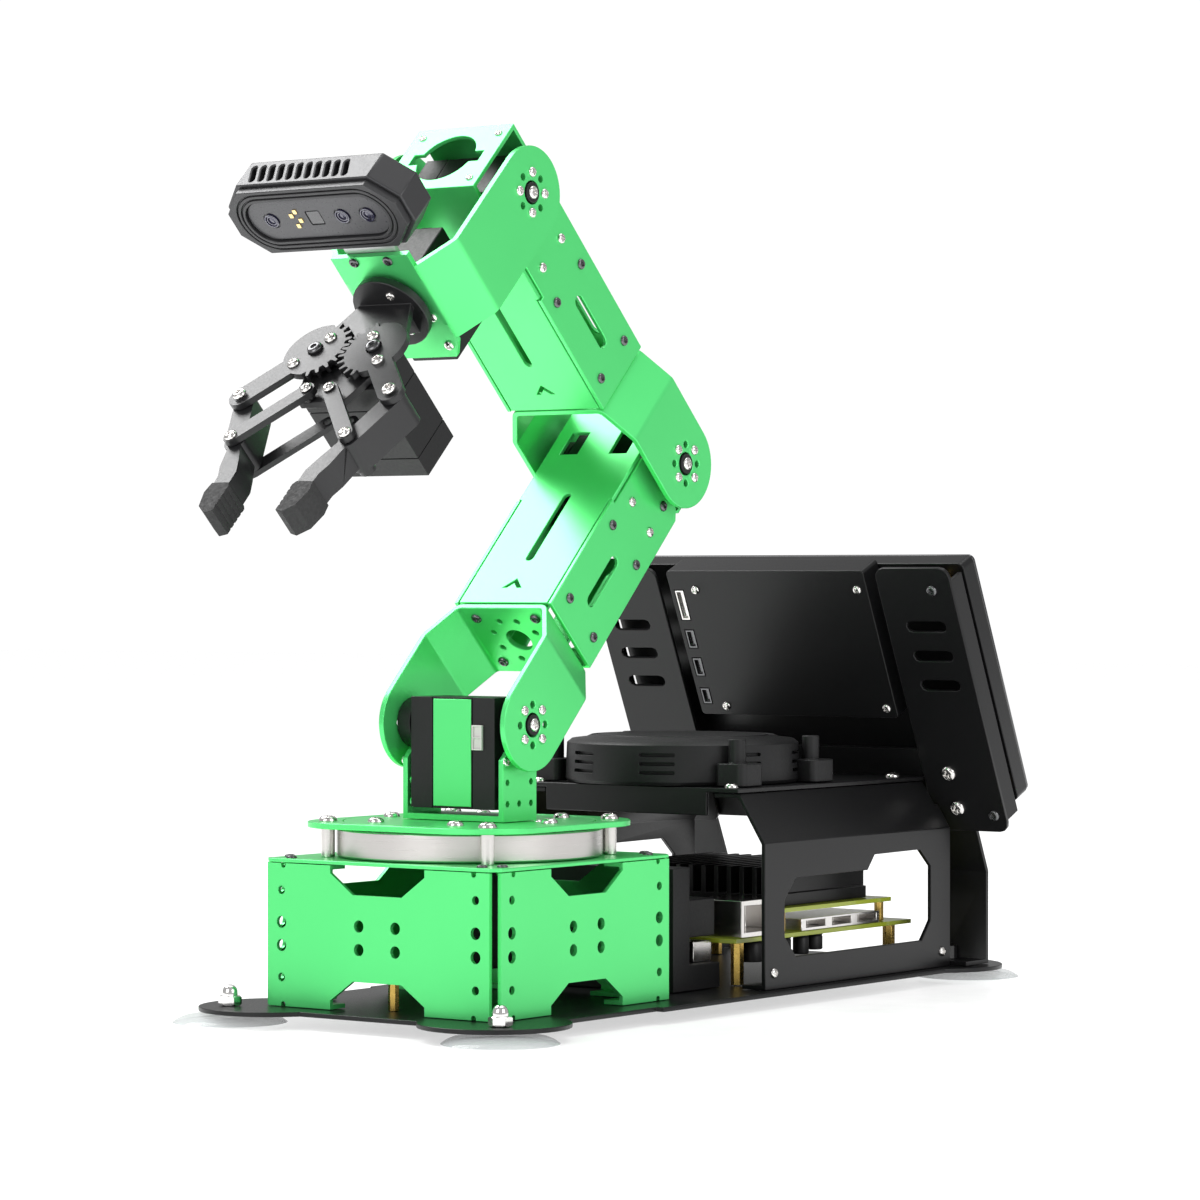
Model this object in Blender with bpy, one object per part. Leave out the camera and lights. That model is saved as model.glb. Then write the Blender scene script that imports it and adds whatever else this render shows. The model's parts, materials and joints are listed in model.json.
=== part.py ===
"""Desktop robot arm: five servo joints, a parallel-finger gripper and a rear deck with a tilted display.

Frame: millimetres in the constants below, metres in the scene. +X is the way the arm works (forward),
+Y its left, +Z up. The origin is on the tabletop, on the yaw axis. Every moving group hangs on an empty
that sits on its joint axis, with local +Z along the link and local +X on the link's front face.
"""
import math

import bmesh
import bpy
from mathutils import Matrix, Vector

MM = 0.001
GAP = 0.3  # clearance between separate pieces that touch

# ---- driving dimensions (mm) ----
PLATE_TOP, PLATE_T = 5.5, 1.6
FEET = {"front_left": (58.7, 58.7), "front_right": (58.7, -58.7), "rear_left": (-241.4, 54.5), "rear_right": (-241.4, -54.5)}
LOBE_R, LOBE_X_FRONT, LOBE_X_REAR, LOBE_Y = 26.0, 48.0, -228.0, 48.0
CUP_R, CUP_H = 19.8, 3.6
BOX_HALF, BOX_Z0, BOX_Z1, PANEL_T = 50.86, 5.8, 54.9, 1.5
HOLE_COL, HOLE_ROW, HOLE_Z, HOLE_PITCH = 42.2, 15.0, 30.7, 8.0
LID_Z0, LID_Z1 = 55.2, 56.4
PILLAR_XY, PILLAR_R = 34.8, 2.4
RING_R, RING_Z0, RING_Z1 = 46.2, 56.7, 66.5
CLAMP_Z0, CLAMP_Z1, CLAMP_HALF, CLAMP_R = 66.8, 68.8, 46.5, 23.0
DISC_R = 43.6
SHOULDER_Z = 102.34
LINK = 129.4  # pivot to pivot, lower arm and forearm
LOWER_TILT, FOREARM_TILT, WRIST_TILT = -44.84, 45.33, 135.0  # from vertical, at rest
EAR_Y0, EAR_Y1, EAR_R = 25.6, 27.6, 16.1
YOKE_BEND, YOKE_TOP, YOKE_HALF = 27.2, 42.3, 20.0
LINK_HALF, LINK_DEPTH, SHEET = 21.4, 16.2, 1.5
LINK_Z0, LINK_Z1, CAP_Z = 42.6, 118.5, 147.1
SERVO_T, SERVO_HALF, SERVO_UP, SERVO_DOWN = 9.64, 18.33, 9.3, 29.2
HORN_R, PCD = 8.8, 7.0
HAND_BEND, HAND_PLATE, HAND_HALF = 42.3, 55.9, 17.3
ROLL_Z = 57.0
GEAR_PIVOT_Z, GEAR_PIVOT_Y, GEAR_H = 86.8, 12.6, 8.2
CRANK = 29.6  # pivot to pivot of gear arms and inner links
OPEN = math.radians(41.5)  # crank angle from straight ahead, at rest
INNER_Z, INNER_Y = 106.4, 4.9
DECK_X0, DECK_X1, DECK_Z = -217.8, -92.0, 77.5
WALL_Y = 60.0
SCREEN_O, SCREEN_TILT = (-190.3, 0.0, 134.7), 24.5


def clear_scene():
    for obj in list(bpy.data.objects):
        bpy.data.objects.remove(obj, do_unlink=True)


# ---- materials ----
def material(name, colour, rough, metal=0.0, alpha=1.0, transmission=0.0):
    mat = bpy.data.materials.new(name)
    mat.use_nodes = True
    shader = mat.node_tree.nodes["Principled BSDF"]
    shader.inputs["Base Color"].default_value = (*colour, 1.0)
    shader.inputs["Roughness"].default_value = rough
    shader.inputs["Metallic"].default_value = metal
    shader.inputs["Alpha"].default_value = alpha
    shader.inputs["Transmission Weight"].default_value = transmission
    mat.diffuse_color = (*colour, 1.0)
    mat.metallic, mat.roughness = metal, rough
    return mat


clear_scene()
GREEN = material("anodised_green", (0.13, 0.72, 0.26), 0.32, 0.35)
BLACK = material("black_coated_metal", (0.012, 0.012, 0.013), 0.42, 0.2)
CASE = material("black_servo_case", (0.02, 0.02, 0.021), 0.5)
GREY = material("dark_grey_plastic", (0.045, 0.045, 0.047), 0.5)
STEEL = material("bright_steel", (0.62, 0.61, 0.6), 0.25, 1.0)
CLEAR = material("clear_rubber", (0.9, 0.92, 0.92), 0.08, 0.0, 1.0, 0.9)
PCB = material("circuit_board", (0.35, 0.42, 0.05), 0.5)
GLASS = material("dark_glass", (0.01, 0.01, 0.012), 0.08)


# ---- mesh tools: every solid is built in millimetres as a bmesh ----
def prism(points, z0, z1):
    """A closed outline in XY, extruded along Z."""
    bm = bmesh.new()
    face = bm.faces.new([bm.verts.new((x, y, z0)) for x, y in points])
    top = bmesh.ops.extrude_face_region(bm, geom=[face])["geom"]
    moved = [v for v in top if isinstance(v, bmesh.types.BMVert)]
    bmesh.ops.translate(bm, vec=(0, 0, z1 - z0), verts=moved)
    bmesh.ops.recalc_face_normals(bm, faces=bm.faces)
    return bm


def block(x0, x1, y0, y1, z0, z1):
    return prism([(x0, y0), (x1, y0), (x1, y1), (x0, y1)], z0, z1)


def ring_points(r, n, cx=0.0, cy=0.0, turn=0.0):
    return [(cx + r * math.cos(turn + 2 * math.pi * i / n), cy + r * math.sin(turn + 2 * math.pi * i / n)) for i in range(n)]


def rod(r, z0, z1, n=16, cx=0.0, cy=0.0, turn=0.0):
    return prism(ring_points(r, n, cx, cy, turn), z0, z1)


def slot_points(x0, x1, y, half, n=4):
    """A slot with round ends along X."""
    pts = [(x1 + half * math.cos(a), y + half * math.sin(a)) for a in [math.pi * (i / n - 0.5) for i in range(n + 1)]]
    pts += [(x0 - half * math.cos(a), y - half * math.sin(a)) for a in [math.pi * (i / n - 0.5) for i in range(n + 1)]]
    return pts


def round_rect(x0, x1, y0, y1, r, n=3):
    pts = []
    for cx, cy, a0 in ((x1 - r, y1 - r, 0), (x0 + r, y1 - r, 90), (x0 + r, y0 + r, 180), (x1 - r, y0 + r, 270)):
        pts += [(cx + r * math.cos(math.radians(a0 + 90 * i / n)), cy + r * math.sin(math.radians(a0 + 90 * i / n))) for i in range(n + 1)]
    return pts


def turned(profile, n):
    """A profile of (radius, z) turned round Z; a radius of 0 is on the axis."""
    bm = bmesh.new()
    verts = [bm.verts.new((r, 0, z)) for r, z in profile]
    edges = [bm.edges.new((verts[i], verts[(i + 1) % len(verts)])) for i in range(len(verts))
             if not (profile[i][0] == 0 and profile[(i + 1) % len(verts)][0] == 0)]
    bmesh.ops.spin(bm, geom=verts + edges, axis=(0, 0, 1), cent=(0, 0, 0), steps=n, angle=2 * math.pi, use_duplicate=False)
    bmesh.ops.remove_doubles(bm, verts=bm.verts, dist=1e-4)
    bmesh.ops.recalc_face_normals(bm, faces=bm.faces)
    return bm


def strip(points, half_t):
    """The outline of a bent sheet of thickness 2*half_t along an open line of points."""
    left, right = [], []
    for i, p in enumerate(points):
        p = Vector(p)
        dirs = []
        if i > 0:
            dirs.append((p - Vector(points[i - 1])).normalized())
        if i < len(points) - 1:
            dirs.append((Vector(points[i + 1]) - p).normalized())
        d = sum(dirs, Vector((0, 0))).normalized()
        k = half_t / max(d.dot(dirs[0]), 0.3)
        nrm = Vector((-d.y, d.x)) * k
        left.append(tuple(p + nrm))
        right.append(tuple(p - nrm))
    return left + right[::-1]


def turn_to(bm, x_to, y_to, z_to, at=(0, 0, 0)):
    """Sends the local axes to the given directions."""
    m = Matrix((x_to, y_to, z_to)).transposed().to_4x4()
    m.translation = Vector(at)
    bmesh.ops.transform(bm, matrix=m, verts=bm.verts)
    if m.determinant() < 0:
        bmesh.ops.reverse_faces(bm, faces=bm.faces)
    return bm


X, Y, Z = (1, 0, 0), (0, 1, 0), (0, 0, 1)
NX, NY, NZ = (-1, 0, 0), (0, -1, 0), (0, 0, -1)


def across_y(bm):
    """Outline in (X, Z), extruded along Y: for plates that face sideways."""
    return turn_to(bm, X, Z, NY)


def across_x(bm):
    """Outline in (Y, Z), extruded along X: for plates that face forward."""
    return turn_to(bm, Y, Z, X)


def moved(bm, dx=0, dy=0, dz=0):
    bmesh.ops.translate(bm, vec=(dx, dy, dz), verts=bm.verts)
    return bm


def joined(parts):
    """Separate shapes kept side by side in one mesh, to serve as one cutter."""
    out = bmesh.new()
    for part in parts:
        mesh = bpy.data.meshes.new("part")
        part.to_mesh(mesh)
        part.free()
        out.from_mesh(mesh)
        bpy.data.meshes.remove(mesh)
    return out


def boolean(a, b, kind):
    objs = []
    for bm in (a, b):
        mesh = bpy.data.meshes.new("tmp")
        bm.to_mesh(mesh)
        bm.free()
        obj = bpy.data.objects.new("tmp", mesh)
        bpy.context.scene.collection.objects.link(obj)
        objs.append(obj)
    mod = objs[0].modifiers.new("bool", "BOOLEAN")
    mod.operation, mod.solver, mod.object = kind, "EXACT", objs[1]
    mod.use_self = True
    bpy.context.view_layer.update()
    result = bmesh.new()
    result.from_mesh(objs[0].evaluated_get(bpy.context.evaluated_depsgraph_get()).to_mesh())
    objs[0].evaluated_get(bpy.context.evaluated_depsgraph_get()).to_mesh_clear()
    for obj in objs:
        mesh = obj.data
        bpy.data.objects.remove(obj, do_unlink=True)
        bpy.data.meshes.remove(mesh)
    bmesh.ops.remove_doubles(result, verts=result.verts, dist=1e-3)
    return result


def cut(a, *cutters):
    return boolean(a, joined(cutters), "DIFFERENCE")


def fuse(a, *others):
    for other in others:
        a = boolean(a, other, "UNION")
    return a


def meet(a, b):
    return boolean(a, b, "INTERSECT")


def add(name, bm, mat, parent=None, matrix=None, smooth=True):
    """One finished solid: millimetres to metres, parented to its axis empty."""
    if matrix is not None:
        bmesh.ops.transform(bm, matrix=matrix, verts=bm.verts)
    bmesh.ops.dissolve_limit(bm, angle_limit=math.radians(0.5), verts=bm.verts, edges=bm.edges)
    bmesh.ops.triangulate(bm, faces=bm.faces)
    bmesh.ops.scale(bm, vec=(MM, MM, MM), verts=bm.verts)
    mesh = bpy.data.meshes.new(name)
    bm.to_mesh(mesh)
    bm.free()
    if smooth:
        mesh.shade_smooth()
        mesh.set_sharp_from_angle(angle=math.radians(32))
    mesh.materials.append(mat)
    obj = bpy.data.objects.new(name, mesh)
    bpy.context.scene.collection.objects.link(obj)
    obj.parent = parent
    return obj


def link_frame(origin, tilt):
    return Matrix.Translation(Vector(origin) * MM) @ Matrix.Rotation(math.radians(tilt), 4, "Y")


def axis_empty(name, origin, tilt):
    """An empty on a joint axis, turned about Y by tilt degrees from vertical."""
    obj = bpy.data.objects.new(name, None)
    obj.empty_display_size = 0.02
    bpy.context.scene.collection.objects.link(obj)
    obj.matrix_world = link_frame(origin, tilt)
    return obj


def on_link(origin, tilt, length):
    a = math.radians(tilt)
    return (origin[0] + length * math.sin(a), 0.0, origin[2] + length * math.cos(a))


# ---- base ----
def base_plate():
    bm = block(LOBE_X_REAR - 17, 61, -62, 62, PLATE_TOP - PLATE_T, PLATE_TOP)
    for cx in (LOBE_X_FRONT, LOBE_X_REAR):
        for cy in (-LOBE_Y, LOBE_Y):
            bm = fuse(bm, rod(LOBE_R, PLATE_TOP - PLATE_T, PLATE_TOP, 36, cx, cy))
    bm = fuse(bm, block(LOBE_X_REAR, -25, -65, 65, PLATE_TOP - PLATE_T, PLATE_TOP))
    studs = [rod(2.4, 0, 9, 10, cx, cy) for cx, cy in FEET.values()]
    return cut(bm, *studs)


def suction_cup():
    return turned([(0, CUP_H), (5.5, CUP_H), (7, 3.3), (14, 2.6), (CUP_R - 0.3, 0.7), (CUP_R, 0.0),
                   (CUP_R - 1.2, 0.0), (13, 1.3), (6, 1.9), (0, 1.9)], 28)


def dome_nut():
    hexagon = rod(4.05, PLATE_TOP + GAP, 8.4, 6)
    dome = turned([(0, CUP_H + GAP), (2.0, CUP_H + GAP), (2.0, 6.2), (2.9, 6.2), (2.9, 10.2), (2.5, 11.5), (1.5, 12.6), (0, 12.9)], 12)
    return fuse(hexagon, dome)


def box_panel():
    """A panel facing +X, with its top and bottom edges folded inward."""
    wall = across_x(prism([(-48, BOX_Z0), (48, BOX_Z0), (48, BOX_Z1), (-48, BOX_Z1)], BOX_HALF - PANEL_T, BOX_HALF))
    for z in (BOX_Z0, BOX_Z1 - PANEL_T):
        wall = fuse(wall, block(BOX_HALF - 8.0, BOX_HALF - 0.6, -40.4, 40.4, z, z + PANEL_T))
    cutters = []
    for side in (-1, 1):
        for z, r in ((HOLE_ROW, 1.4), (HOLE_PITCH / 2, 2.0), (-HOLE_PITCH / 2, 2.0), (-HOLE_ROW, 1.4)):
            cutters.append(rod(r, BOX_HALF - 4, BOX_HALF + 4, 8, side * HOLE_COL, HOLE_Z + z))
        for z in (-HOLE_PITCH / 2, HOLE_PITCH / 2):
            cutters.append(rod(2.0, BOX_HALF - 4, BOX_HALF + 4, 8, side * 7.92, HOLE_Z + z))
    deep0, deep1 = BOX_HALF - 12, BOX_HALF + 4
    cutters.append(prism([(-20.5, 70), (-20.5, 52.3), (-10.6, 45.2), (10.6, 45.2), (20.5, 52.3), (20.5, 70)], deep0, deep1))
    cutters.append(prism([(-20.5, 0), (-20.5, 8.9), (-10.6, 15.8), (10.6, 15.8), (20.5, 8.9), (20.5, 0)], deep0, deep1))
    return cut(wall, *[across_x(c) for c in cutters])


def box_lid():
    c = 3.0
    h = BOX_HALF
    bm = prism([(h, -h + c), (h, h - c), (h - c, h), (-h + c, h), (-h, h - c), (-h, -h + c), (-h + c, -h), (h - c, -h)], LID_Z0, LID_Z1)
    return cut(bm, rod(12, 50, 60, 24))


def yaw_servo():
    """Hangs under the lid, output shaft up through it."""
    body = block(-SERVO_DOWN, SERVO_UP, -SERVO_T, SERVO_T, 17.5, 54.6)
    return fuse(body, rod(7.5, 50, 57.2, 20), rod(3.0, 50, 59.5, 12))


def bearing_ring():
    return turned([(RING_R, RING_Z1), (41.2, RING_Z1), (41.2, RING_Z0), (RING_R, RING_Z0)], 44)


def bearing_clamp():
    """The fixed plate that holds the bearing down, with its four pillars."""
    bm = prism(round_rect(-CLAMP_HALF, CLAMP_HALF, -CLAMP_HALF, CLAMP_HALF, CLAMP_R, 7), CLAMP_Z0, CLAMP_Z1)
    bm = cut(bm, rod(DISC_R + 0.5, 60, 70, 44))
    for sx in (-1, 1):
        for sy in (-1, 1):
            bm = fuse(bm, rod(PILLAR_R, LID_Z1 + GAP, CLAMP_Z0 + 0.5, 10, sx * PILLAR_XY, sy * PILLAR_XY))
    return bm


def turntable():
    """Rotating disc with the bearing's inner ring under it and the hub that takes the yaw horn."""
    return turned([(0, CLAMP_Z1), (DISC_R, CLAMP_Z1), (DISC_R, CLAMP_Z0), (40.7, CLAMP_Z0), (40.7, RING_Z0 + 0.4), (36, RING_Z0 + 0.4),
                   (36, CLAMP_Z0), (10, CLAMP_Z0), (10, 60.0), (0, 60.0)], 44)


# ---- arm ----
def servo(boss=EAR_Y0 - 6.0):
    """Servo case with its shaft along Y at the origin, long side down."""
    body = block(-SERVO_T, SERVO_T, -SERVO_HALF, SERVO_HALF, -SERVO_DOWN, SERVO_UP)
    bosses = across_y(rod(6.5, -boss + GAP, boss - GAP, 18))
    return fuse(body, bosses)


def horn(side, diagonal=False):
    """Horn disc between servo and ear, with its hub and four screws through the ear."""
    a = across_y(rod(HORN_R, -(EAR_Y0 - GAP), -(EAR_Y0 - 6.0), 20))
    a = fuse(a, across_y(rod(3.6, -(EAR_Y1 + 0.6), -(EAR_Y0 - 1), 12)))
    for i in range(4):
        ang = math.pi / 2 * i + (math.pi / 4 if diagonal else 0)
        cx, cz = PCD * math.cos(ang), PCD * math.sin(ang)
        screw = fuse(rod(0.8, -(EAR_Y1 + 1.0), -(EAR_Y0 - 1), 6, cx, cz), rod(1.75, -(EAR_Y1 + 1.35), -(EAR_Y1 + GAP), 8, cx, cz))
        a = fuse(a, across_y(screw))
    if side < 0:
        turn_to(a, X, NY, Z)
    return a


def ear_holes(diagonal=False):
    out = [across_y(rod(4.2, -40, 40, 12))]
    for i in range(8):
        ang = math.pi / 4 * i
        out.append(across_y(rod(1.15, -40, 40, 6, PCD * math.cos(ang), PCD * math.sin(ang))))
    return out


def yoke():
    """Bent fork: base plate, two walls that spread, and two parallel ears with round ends."""
    t = (EAR_Y1 - EAR_Y0) / 2
    line = [(-26.6, -30), (-26.6, YOKE_BEND), (-YOKE_HALF + 1, YOKE_TOP - t), (YOKE_HALF - 1, YOKE_TOP - t), (26.6, YOKE_BEND), (26.6, -30)]
    sheet = across_x(prism(strip(line, t), -30, 30))
    outline = [(EAR_R, 60), (-EAR_R, 60)] + [(-EAR_R * math.cos(a), -EAR_R * math.sin(a)) for a in [math.pi * i / 11 for i in range(12)]]
    bm = meet(sheet, across_y(prism(outline, -40, 40)))
    centre = rod(5.0, 30, 50, 16)
    corner = [rod(1.5, 30, 50, 6, sx * 11, sy * 13) for sx in (-1, 1) for sy in (-1, 1)]
    return cut(bm, *ear_holes(), centre, *corner)


def link_channel():
    """Side walls and back of a link; the wide slots are in both side walls."""
    z0, z1 = LINK_Z0, LINK_Z1
    outer = across_y(prism([(-LINK_DEPTH, z0), (LINK_DEPTH, z0), (LINK_DEPTH, 94.4), (LINK_DEPTH - 1.9, 94.4), (LINK_DEPTH - 1.9, z1 - 1),
                            (LINK_DEPTH - 3, z1), (-LINK_DEPTH + 3, z1 + 1.4), (-LINK_DEPTH, z1 - 2)], -LINK_HALF, LINK_HALF))
    inside = block(-LINK_DEPTH + SHEET, 30, -LINK_HALF + SHEET, LINK_HALF - SHEET, 30, 130)
    side_slot = across_y(prism([(x, z) for z, x in slot_points(60.0, 79.0, 0.0, 2.3)], -30, 30))
    mouth = block(-30, 0, -9, 9, 96, 130)
    back_slots = [turn_to(prism(slot_points(54.0, 86.0, y, 3.0), 10, 30), Z, Y, NX) for y in (-9.0, 9.0)]
    screws = [across_y(rod(1.0, -30, 30, 6, x, z)) for z, x in ((51.5, 9.8), (51.5, -9.8), (87.7, 9.8), (87.7, -9.8))]
    return cut(outer, inside, side_slot, mouth, *back_slots, *screws)


def link_cover():
    """Front plate of a link, folded over the end of the servo."""
    x1, x0 = LINK_DEPTH, LINK_DEPTH - SHEET
    half = LINK_HALF - SHEET - 0.5
    front = block(x0, x1, -half, half, LINK_Z0 + 0.4, 95.0)
    wide = block(x0, x1, -LINK_HALF + 0.7, LINK_HALF - 0.7, 94.8, CAP_Z)
    end = block(-LINK_DEPTH, x1, -LINK_HALF + 0.7, LINK_HALF - 0.7, CAP_Z - SHEET, CAP_Z)
    bm = fuse(front, wide, end)
    slot = turn_to(prism(slot_points(65.5, 96.3, 0, 1.6), -30, -5), Z, Y, NX)
    mark = turn_to(prism(slot_points(50.5, 54.5, 0, 1.6), -30, -5), Z, Y, NX)
    windows = [block(5, 30, s * 7.0, s * 15.0, 118.4, 129.8) if s > 0 else block(5, 30, s * 15.0, s * 7.0, 118.4, 129.8) for s in (-1, 1)]
    hole = rod(11.5, 140, 150, 24)
    ends = [block(-2.6, 2.6, 10.5, 15.3, 140, 150), block(-2.6, 2.6, -15.3, -10.5, 140, 150)]
    return cut(bm, slot, mark, *windows, fuse(hole, *ends))


def hand_yoke():
    """Fork of the wrist: ears, walls that close in, and the front plate that carries the roll servo."""
    t = (EAR_Y1 - EAR_Y0) / 2
    line = [(-26.6, -30), (-26.6, HAND_BEND), (-HAND_HALF + 0.9, HAND_PLATE - t), (HAND_HALF - 0.9, HAND_PLATE - t), (26.6, HAND_BEND), (26.6, -30)]
    sheet = across_x(prism(strip(line, t), -30, 30))
    outline = [(EAR_R, 60), (-EAR_R, 60)] + [(-EAR_R * math.cos(a), -EAR_R * math.sin(a)) for a in [math.pi * i / 11 for i in range(12)]]
    bm = meet(sheet, across_y(prism(outline, -40, 40)))
    # local +X points down here, so the plate's lower apron is at +X and its upper lip at -X
    apron = prism([(10, -HAND_HALF + 0.8), (18, -HAND_HALF + 0.8), (24.4, -12.5), (24.4, 12.5), (18, HAND_HALF - 0.8), (10, HAND_HALF - 0.8)], HAND_PLATE - 2 * t, HAND_PLATE)
    lip = block(-21.6, -10, -HAND_HALF + 0.8, HAND_HALF - 0.8, HAND_PLATE - 2 * t, HAND_PLATE)
    bm = fuse(bm, apron, lip)
    return cut(bm, *ear_holes(), rod(10.2, 50, 60, 20))


def roll_servo():
    body = block(-SERVO_T, 28.0, -SERVO_T, SERVO_T, 27.5, HAND_PLATE - 2.0 - GAP)
    return fuse(body, rod(8.0, 50, 57.4, 18))


# ---- camera ----
CAM_N0, CAM_N1, CAM_L0, CAM_L1, CAM_W = 33.6, 62.6, 52.6, 67.4, 37.3


def octagon(w, n0, n1, c):
    return [(-w + c, n0), (w - c, n0), (w, n0 + c), (w, n1 - c), (w - c, n1), (-w + c, n1), (-w, n1 - c), (-w, n0 + c)]


def camera_body():
    """Chamfered case that looks along the hand; the window pocket is sunk in its front."""
    to_hand = (Y, NX, Z)
    body = turn_to(prism(octagon(CAM_W, CAM_N0, CAM_N1, 9.0), CAM_L0, CAM_L1 - 2.5), *to_hand)
    face = turn_to(prism(octagon(CAM_W - 1.6, CAM_N0 + 1.6, CAM_N1 - 1.6, 8.4), CAM_L1 - 3.0, CAM_L1), *to_hand)
    mid = (CAM_N0 + CAM_N1) / 2
    pocket = turn_to(prism(slot_points(-21.0, 21.0, mid, 8.6, 6), CAM_L1 - 2.4, CAM_L1 + 5), *to_hand)
    return cut(fuse(body, face), pocket)


def camera_window():
    mid = (CAM_N0 + CAM_N1) / 2
    return turn_to(prism(slot_points(-21.0, 21.0, mid, 8.2, 6), CAM_L1 - 2.1, CAM_L1 - 1.0), Y, NX, Z)


def camera_bracket():
    """Bent strip from the hand plate's lip up behind the camera."""
    line = [(-13.0, HAND_PLATE - 2.0 - GAP - 0.8), (-26.0, HAND_PLATE - 2.0 - GAP - 0.8), (-32.0, CAM_L0 - GAP - 0.8), (-56.0, CAM_L0 - GAP - 0.8)]
    bm = turn_to(prism(strip(line, 0.8), -11, 11), X, Z, NY)
    return bm


# ---- gripper: local +X is down, so the gear plane is at x = -GEAR_H ----
def flat(points, h0, h1):
    """Outline given as (z, y), between heights h0 and h1 above the roll axis."""
    return turn_to(prism(points, h0, h1), Z, Y, NX)


def bar(a, b, half, n=6):
    """Round-ended bar outline between two (z, y) points."""
    ang = math.atan2(b[1] - a[1], b[0] - a[0])
    pts = [(b[0] + half * math.cos(ang + t), b[1] + half * math.sin(ang + t)) for t in [math.pi * (i / n - 0.5) for i in range(n + 1)]]
    pts += [(a[0] - half * math.cos(ang + t), a[1] - half * math.sin(ang + t)) for t in [math.pi * (i / n - 0.5) for i in range(n + 1)]]
    return pts


def gear_outline(r_pitch, tooth, count, start, side):
    """A gear sector about (GEAR_PIVOT_Z, side*GEAR_PIVOT_Y): teeth over count pitches, plain round elsewhere."""
    pts = []
    pitch = 2 * math.pi / 22
    total = 22
    for i in range(total):
        for frac, dr in ((-0.28, -tooth), (-0.12, tooth), (0.12, tooth), (0.28, -tooth)):
            if i < count:
                a = start + (i - (count - 1) / 2 + frac) * pitch
                r = r_pitch + dr
            else:
                a = start + (i - (count - 1) / 2 + frac) * pitch
                r = r_pitch - 0.2
            pts.append((GEAR_PIVOT_Z + r * math.cos(a), side * (GEAR_PIVOT_Y + r * math.sin(a))))
    return pts


def hand_points(side):
    pivot = (GEAR_PIVOT_Z, side * GEAR_PIVOT_Y)
    outer = (pivot[0] + CRANK * math.cos(OPEN), pivot[1] + side * CRANK * math.sin(OPEN))
    inner = (INNER_Z, side * INNER_Y)
    tip = (inner[0] + CRANK * math.cos(OPEN), inner[1] + side * CRANK * math.sin(OPEN))
    return pivot, outer, inner, tip


def gear_arm(side):
    pivot, outer, inner, tip = hand_points(side)
    # the left gear is half a pitch out, so that its teeth fall in the right gear's gaps
    phase = -math.pi / 2 + (math.pi / 22 if side > 0 else 0.0)
    h0, h1 = GEAR_H - 2.4, GEAR_H
    sector = flat(gear_outline(12.45, 1.25, 10, phase, side), h0, h1)
    arm = flat(bar(pivot, outer, 4.6), h0, h1)
    bm = fuse(sector, arm)
    return cut(bm, flat(ring_points(3.0, 12, *pivot), 0, 20), flat(ring_points(1.6, 8, *outer), 0, 20))


def inner_link(side):
    pivot, outer, inner, tip = hand_points(side)
    top = flat(bar(inner, tip, 2.9), GEAR_H - 2.4, GEAR_H)
    low = flat(bar(inner, tip, 2.9), -9.0, -7.0)
    post = flat(ring_points(2.2, 10, *tip), -8.0, GEAR_H - 1.0)
    bm = fuse(top, low, post)
    return cut(bm, flat(ring_points(1.6, 8, *inner), -20, 20))


def finger(side):
    """Follows the gear arm and the inner link; its far end is the rubber-tipped jaw."""
    pivot, outer, inner, tip = hand_points(side)
    h0, h1 = -6.6, GEAR_H - 2.4 - GAP
    root = flat(bar(outer, tip, 3.9), h0, h1)
    neck = flat([(tip[0] - 3.0, tip[1] + side * 2.4), (tip[0] + 2.0, tip[1] - side * 3.6), (tip[0] + 16, side * 16.0), (tip[0] + 19, side * 22.5)], h0 + 2.0, h1)
    jaw = flat([(144.0, side * 23.0), (142.5, side * 15.5), (146.0, side * 13.6), (162.0, side * 13.6), (162.8, side * 17.5), (158.0, side * 22.5), (151.0, side * 25.0)], h0 + 0.2, h1)
    pin = flat(ring_points(1.2, 8, *outer), h1 - 1.0, GEAR_H + 1.2)
    bm = fuse(root, neck, jaw, pin)
    return cut(bm, flat(ring_points(2.6, 12, *tip), -20, 20))


def gripper_base():
    """Roll horn and the frame that holds the gripper servo and the gear pivots."""
    horn_disc = rod(14.4, ROLL_Z + 0.6, ROLL_Z + 3.6, 28)
    web = flat([(ROLL_Z + 3.0, -11), (76, -17.5), (84, -20), (109, -9.5), (109, 9.5), (84, 20), (76, 17.5), (ROLL_Z + 3.0, 11)], 1.6, 4.2)
    gusset = turn_to(prism([(-1.7, ROLL_Z + 3.2), (9.0, ROLL_Z + 3.2), (2.0, 70.0), (-1.7, 70.0)], -8, 8), X, Z, NY)
    bm = fuse(horn_disc, web, gusset)
    for side in (-1, 1):
        pivot, outer, inner, tip = hand_points(side)
        bm = fuse(bm, flat(ring_points(2.6, 12, *pivot), 3.0, GEAR_H + 0.8))
        bm = fuse(bm, flat(ring_points(1.2, 8, *inner), 3.0, GEAR_H + 0.9))
    return cut(bm, rod(4.0, 50, 58.8, 12))


def gripper_servo():
    body = flat([(81.0, -17.4), (100.2, -17.4), (100.2, 17.4), (81.0, 17.4)], -38.2, 1.3)
    return body


# ---- rear ----
def side_bracket():
    """Left side: foot, upright wall with its window, leaning wall and the fold under the deck."""
    t = 0.8
    line = [(50.0, PLATE_TOP + GAP + t), (WALL_Y - t, PLATE_TOP + GAP + t), (WALL_Y - t, 58.0), (48.6, DECK_Z - 1.6 - GAP - t), (38.0, DECK_Z - 1.6 - GAP - t)]
    bm = across_x(prism(strip(line, t), -219.9, -94.3))
    window = [(-114.2, 44.8), (-162.2, 45.1), (-167.0, 50.6), (-198.4, 50.9), (-206.2, 44.3), (-206.2, 23.9), (-199.8, 16.6), (-114.3, 16.6), (-107.1, 24.0), (-107.1, 37.4)]
    return cut(bm, across_y(prism(window, -70, -55)), block(-225, -217.6, 30, 60, 67, 80))


def mirror_y(bm):
    return turn_to(bm, X, NY, Z)


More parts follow.
